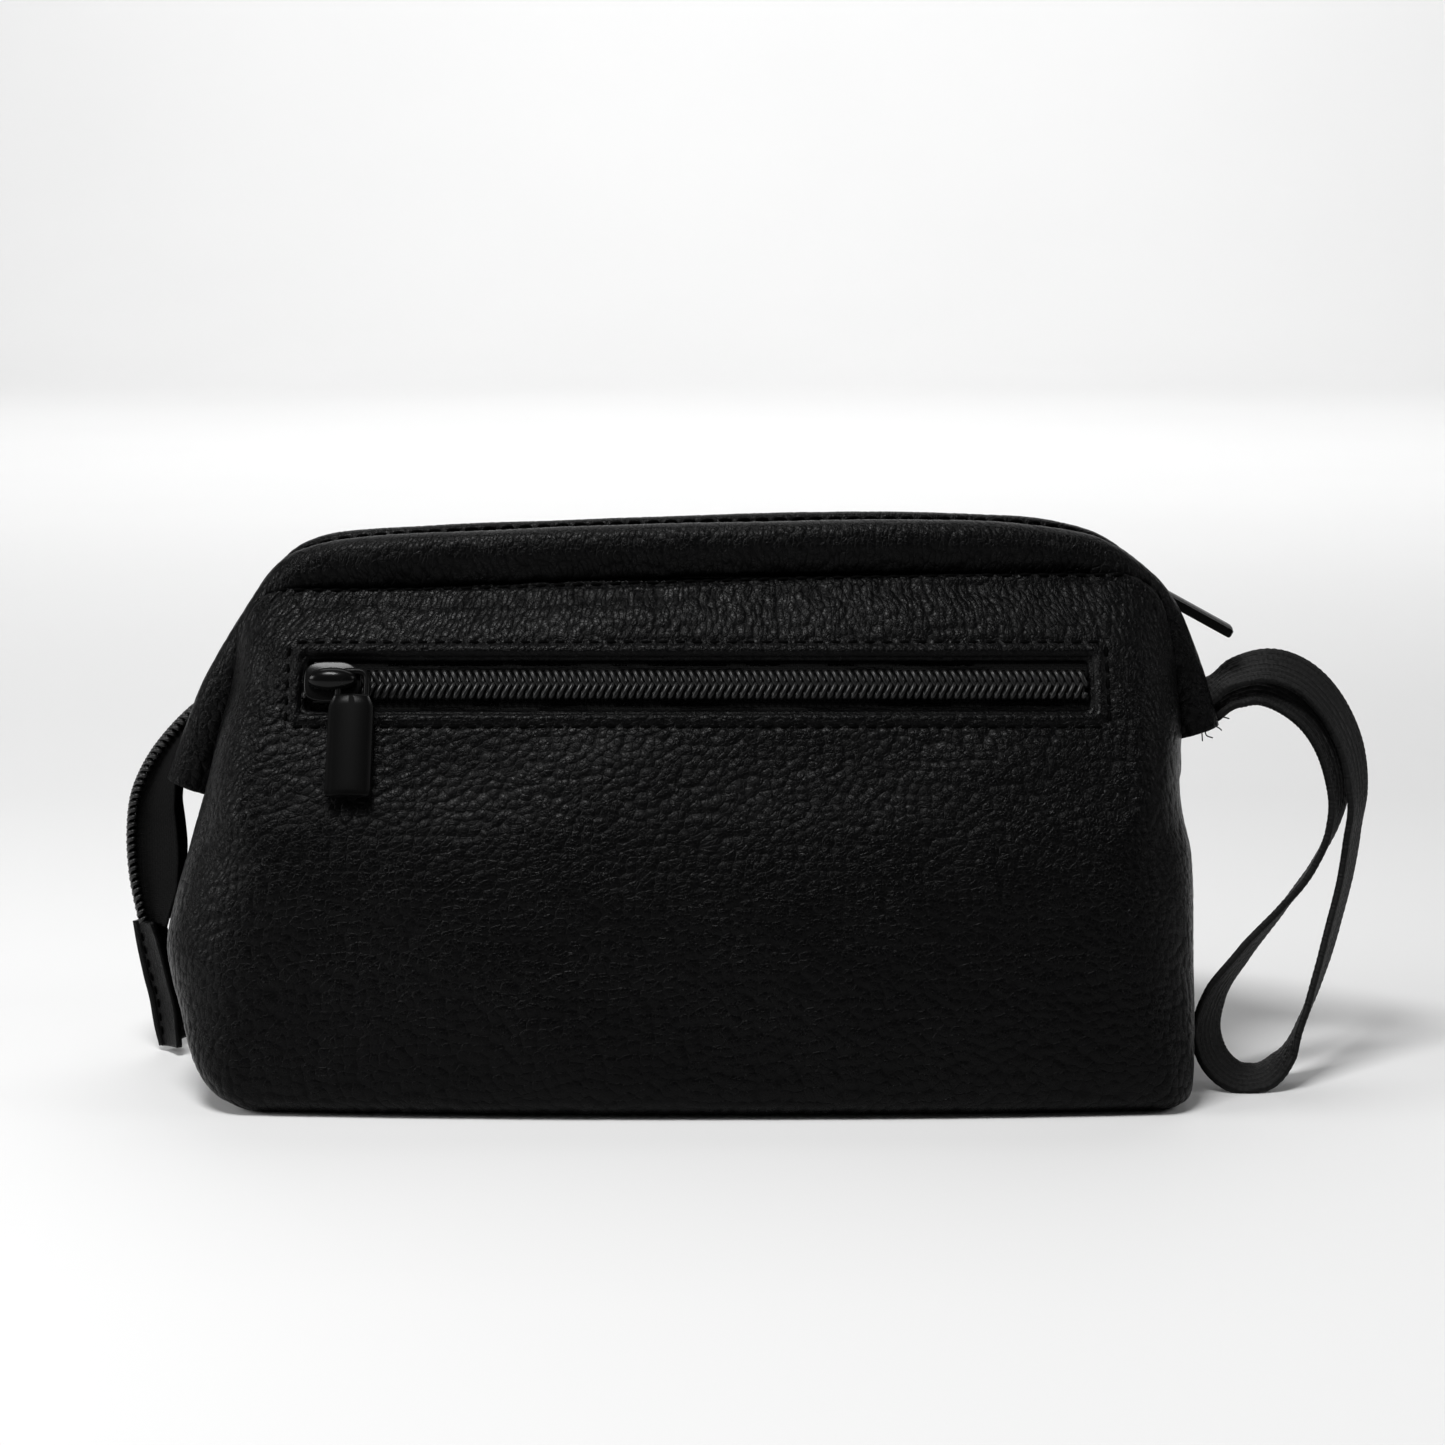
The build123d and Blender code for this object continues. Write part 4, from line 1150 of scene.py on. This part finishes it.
def make_pullers():
    make_hardware("pocket_puller_bar", "pocket_puller", puller_parts(), on_pocket(-86.6, 1.9, 3.1),
                  (X_AXIS, -SLOPE, FACING), satin_metal, 32)
    droop = math.radians(28.7)
    length = X_AXIS * math.cos(droop) - Z_AXIS * math.sin(droop)
    out = X_AXIS * math.sin(droop) + Z_AXIS * math.cos(droop)
    make_hardware("main_puller_bar", "main_puller", puller_parts(), np.array([102.4, 0, 124.35]),
                  (Y_AXIS, length, out), satin_metal, 32)


# ---- strap and tail ---------------------------------------------------------------------------
def make_strap():
    """The wrist strap: one length of webbing, out, down round its fold and back up."""
    line = smooth_path(STRAP, 0.7)
    along = unit(np.gradient(line, axis=0))
    t = np.linspace(0, 1, len(line))
    # share of the way along, and the direction of the width there
    turns = [(0.0, 0.45, 0.66, 0.6), (0.2, 0.42, 0.72, 0.5), (0.33, 0.4, 0.8, 0.25),
             (0.46, 0.35, 0.8, 0.42), (0.56, 0.62, 0.75, 0.2), (0.66, 0.5, 0.8, 0.05),
             (0.73, 0.38, 0.82, 0.22), (0.8, 0.42, 0.72, 0.5), (1.0, 0.45, 0.66, 0.6)]
    across = np.stack([smooth_table([(row[0], row[k]) for row in turns])(t) for k in (1, 2, 3)], 1)
    across = unit(across - along * np.sum(across * along, axis=1, keepdims=True))
    up = np.cross(along, across)
    steps = np.linspace(-1, 1, 27)
    ribs = 0.11 * np.abs(np.cos(steps * 3.5 * math.pi))
    flat_half, flat_t = STRAP_HALF - 0.5, STRAP_T / 2 - 0.1
    top = np.stack([steps * flat_half, flat_t + ribs], 1)
    edge = np.linspace(math.pi / 2, -math.pi / 2, 6)[1:-1]
    right = np.stack([flat_half + 0.5 * np.cos(edge), flat_t * np.sin(edge)], 1)
    sections = np.repeat(np.concatenate([top, right, -top, -right])[None], len(line), 0)
    run = arc(line)
    tooth = 0.2 * np.abs(np.sin(run / 1.5 * math.pi))
    at_edge = np.abs(sections[..., 0]) > STRAP_HALF - 0.6
    sections[..., 0] += np.where(at_edge, np.sign(sections[..., 0]) * (tooth[:, None] - 0.1), 0)
    picks = 0.07 * np.sin(run[:, None] / 0.95 * math.pi + 2.0 * np.round(sections[..., 0] / 1.57))
    sections[..., 1] += np.where(at_edge, 0, np.sign(sections[..., 1]) * picks)
    points = sweep(line, across, up, sections)
    points[..., 2] = np.maximum(points[..., 2], 0.1)
    strap = make_piece("wrist_strap_webbing", points, swept_faces(points), webbing, "strap_webbing",
                       weave=weave_of(run[:, None], sections[..., 0]))
    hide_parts("wrist_strap")
    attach(strap, "wrist_strap")
    print("strap length", round(float(run[-1]), 1))


def make_strap_anchor():
    """The sewn end of the strap, folded over between the mouth bands."""
    line = smooth_path([(121.8, -0.5, 91.6), (118.5, -0.3, 92.6), (115, 0, 93.2), (111.8, 0, 93.0)], 0.6)
    piece = ribbon("strap_end", line, *level_frame(line), -4.8, 4.8, 4.6, webbing, "strap_webbing",
                   wave=0.1, seed=200.0)
    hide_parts("strap_anchor")
    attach(piece, "bag_body")


def tail_frames(points, spacing):
    """The outer edge of the hanging tail, and the directions from it towards the bag."""
    line = smooth_path(points, spacing)
    inward = np.cross(unit(np.gradient(line, axis=0)), Y_AXIS)
    return line, inward * np.sign(inward[:, :1])


def roof(line, inward, half_at, reach_at, thickness, ridge):
    """A strip folded lengthwise over the line like a roof, opening inwards; also its places across."""
    v = np.linspace(-1, 1, 41)
    t = np.linspace(0, 1, len(line))
    half, reach = half_at(t)[:, None], reach_at(t)[:, None]
    spread = np.abs(v)[None, :]
    shape = line[:, None, :] + inward[:, None, :] * (ridge + reach * spread ** 0.9)[..., None]
    shape[..., 1] += half * np.sign(v) * spread ** 1.25
    shape = shape + inward[:, None, :] * (0.5 * wander(shape, 10.0, 230.0))[..., None]
    normal = grid_normals(shape)
    outside = np.sum(normal * -inward[:, None, :], axis=-1, keepdims=True) < 0
    normal = np.where(outside, -normal, normal)
    inner = shape - normal * thickness
    return np.concatenate([shape, inner[:, ::-1]], axis=1), v


def make_tail():
    """The free end of the main zip: its coil on the outside, its tapes folded back behind it."""
    line, inward = tail_frames(TAIL, 0.8)
    for side in (-1, 1):
        across = each(line, Y_AXIS) * 0.62 + inward * 0.3 * side
        coil_row("tail_coil_row_" + word_of(side), line, across, -inward, side, "zip_tail", "tail_coil")
    half_at = smooth_table([(0, 4.2), (0.18, 5.0), (0.4, 6.4), (0.7, 6.6), (1, 5.8)])
    reach_at = smooth_table([(0, 1.6), (0.2, 3.6), (0.45, 10.0), (0.7, 12.4), (0.85, 11.0), (0.95, 7.4),
                             (1, 5.6)])
    points, v = roof(line, inward, half_at, reach_at, TAPE_T, 1.0)
    piece = make_piece("tail_tape_fold", points, swept_faces(points), tape_cloth, "zip_tape",
                       weave=weave_of(arc(line)[:, None], np.concatenate([v, v[::-1]]) * 11.0))
    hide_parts("tail_tape")
    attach(piece, "zip_tail")
    line, inward = tail_frames(TAB, 0.7)
    half_at = smooth_table([(0, 5.4), (0.1, 6.2), (0.9, 6.4), (1, 6.2)])
    reach_at = smooth_table([(0, 5.2), (0.15, 6.4), (0.6, 7.2), (0.95, 5.8), (1, 5.4)])
    points = roof(line, inward, half_at, reach_at, 1.5, -2.0)[0]
    tab = make_piece("tail_tab_fold", points, swept_faces(points), smooth_leather, "smooth_leather")
    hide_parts("tail_tab")
    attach(tab, "zip_tail")
    for side in (1, -1):
        rail = even(points[2:-2, 20 + side * 6], 0.8)
        out = each(rail, (-0.75, 0.65 * side, 0.0))
        make_stitches("tab_stitches_" + word_of(side), rail, out, 3.6, 2.8, "zip_tail", lift=0.1)


def make_tail_root():
    """Where the two tapes of the main zip are gathered as they leave the mouth."""
    line = smooth_path([(-118.6, 0, 98.6), (-121.2, 0, 95.6), (-124.0, 0, 92.8), (-126.6, 0, 89.6)], 0.7)
    piece = ribbon("tail_gather", line, *level_frame(line), -4.4, 4.4, 2.4, tape_cloth, "zip_tape",
                   wave=0.25, seed=250.0)
    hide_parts("tail_root")
    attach(piece, "bag_body")


def make_loose_threads():
    """Frayed thread ends under the right foot of the front mouth band."""
    root = np.array([126.0, -9.5, 87.6])
    tips = [(3.6, -1.2, 1.2), (3.0, -0.4, -1.6), (1.8, -1.6, -3.0), (0.4, -1.2, -3.6), (-7.0, -3.2, -3.2)]
    parts = []
    for k, tip in enumerate(tips):
        bend = np.array([0.8 * math.sin(2.1 * k), -0.4, 0.9 * math.cos(1.7 * k)])
        first = root + np.array([-1.1 * k, 0.2 * k, -0.35 * k])
        line = smooth_path([first, first + np.array(tip) * 0.5 + bend, first + np.array(tip)], 0.25)
        parts.append(tube(line, 0.17, 6, each(line, (0.0, 1.0, 0.13))))
    piece = make_piece("loose_threads", *assemble(parts), thread, "zip_tape")
    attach(piece, "front_mouth")


# ---- pieces that keep their CAD shape -----------------------------------------------------------
def dress(node, material, bevel=0.0):
    """Gives a CAD node its material and softens its edges."""
    recoat(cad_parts[node], material, bevel)


def recoat(obj, material, bevel):
    obj.data.materials.clear()
    obj.data.materials.append(material)
    if bevel:
        edges = obj.modifiers.new("edges", "BEVEL")
        edges.width, edges.segments, edges.limit_method = bevel * MM, 2, "ANGLE"
        edges.angle_limit = math.radians(35)


def shifted_twin(node, material, shift, bevel):
    """A copy of a CAD piece a little further inside the soft end of the bag, standing for it."""
    twin = bpy.data.objects.new(node + "_inside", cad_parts[node].data.copy())
    bpy.context.scene.collection.objects.link(twin)
    twin.data.transform(Matrix.Translation((shift * MM, 0, 0)))
    recoat(twin, material, bevel)
    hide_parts(node)
    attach(twin, "bag_body")
    return twin


def dress_cad():
    for node in ("front_frame_wire", "back_frame_wire"):
        dress(node, steel)
    dress("hinge_rivet_left", brass, 0.25)
    dress("hinge_tab_left", leather_cad, 0.3)
    dress("base_panel", leather_cad, 0.3)
    shifted_twin("hinge_rivet_right", brass, -4.5, 0.25)
    shifted_twin("hinge_tab_right", leather_cad, -4.5, 0.3)
    dress("base_board", board)


panels = {half_side: make_leather_half(half_side) for half_side in (-1, 1)}
for half_side in panels:
    make_lining(half_side)
    make_gusset(half_side)
    make_band(half_side)
    make_crest_stitches(half_side)
for half_side, panel_points in panels.items():
    make_seam_stitches(half_side, panel_points)
make_bag_floor()
make_pocket_stitches(panels[-1])
make_pocket_zip()
make_pocket_lip()
make_pouch()
make_main_zip()
make_sliders()
make_pullers()
make_strap()
make_strap_anchor()
make_tail()
make_tail_root()
make_loose_threads()
dress_cad()
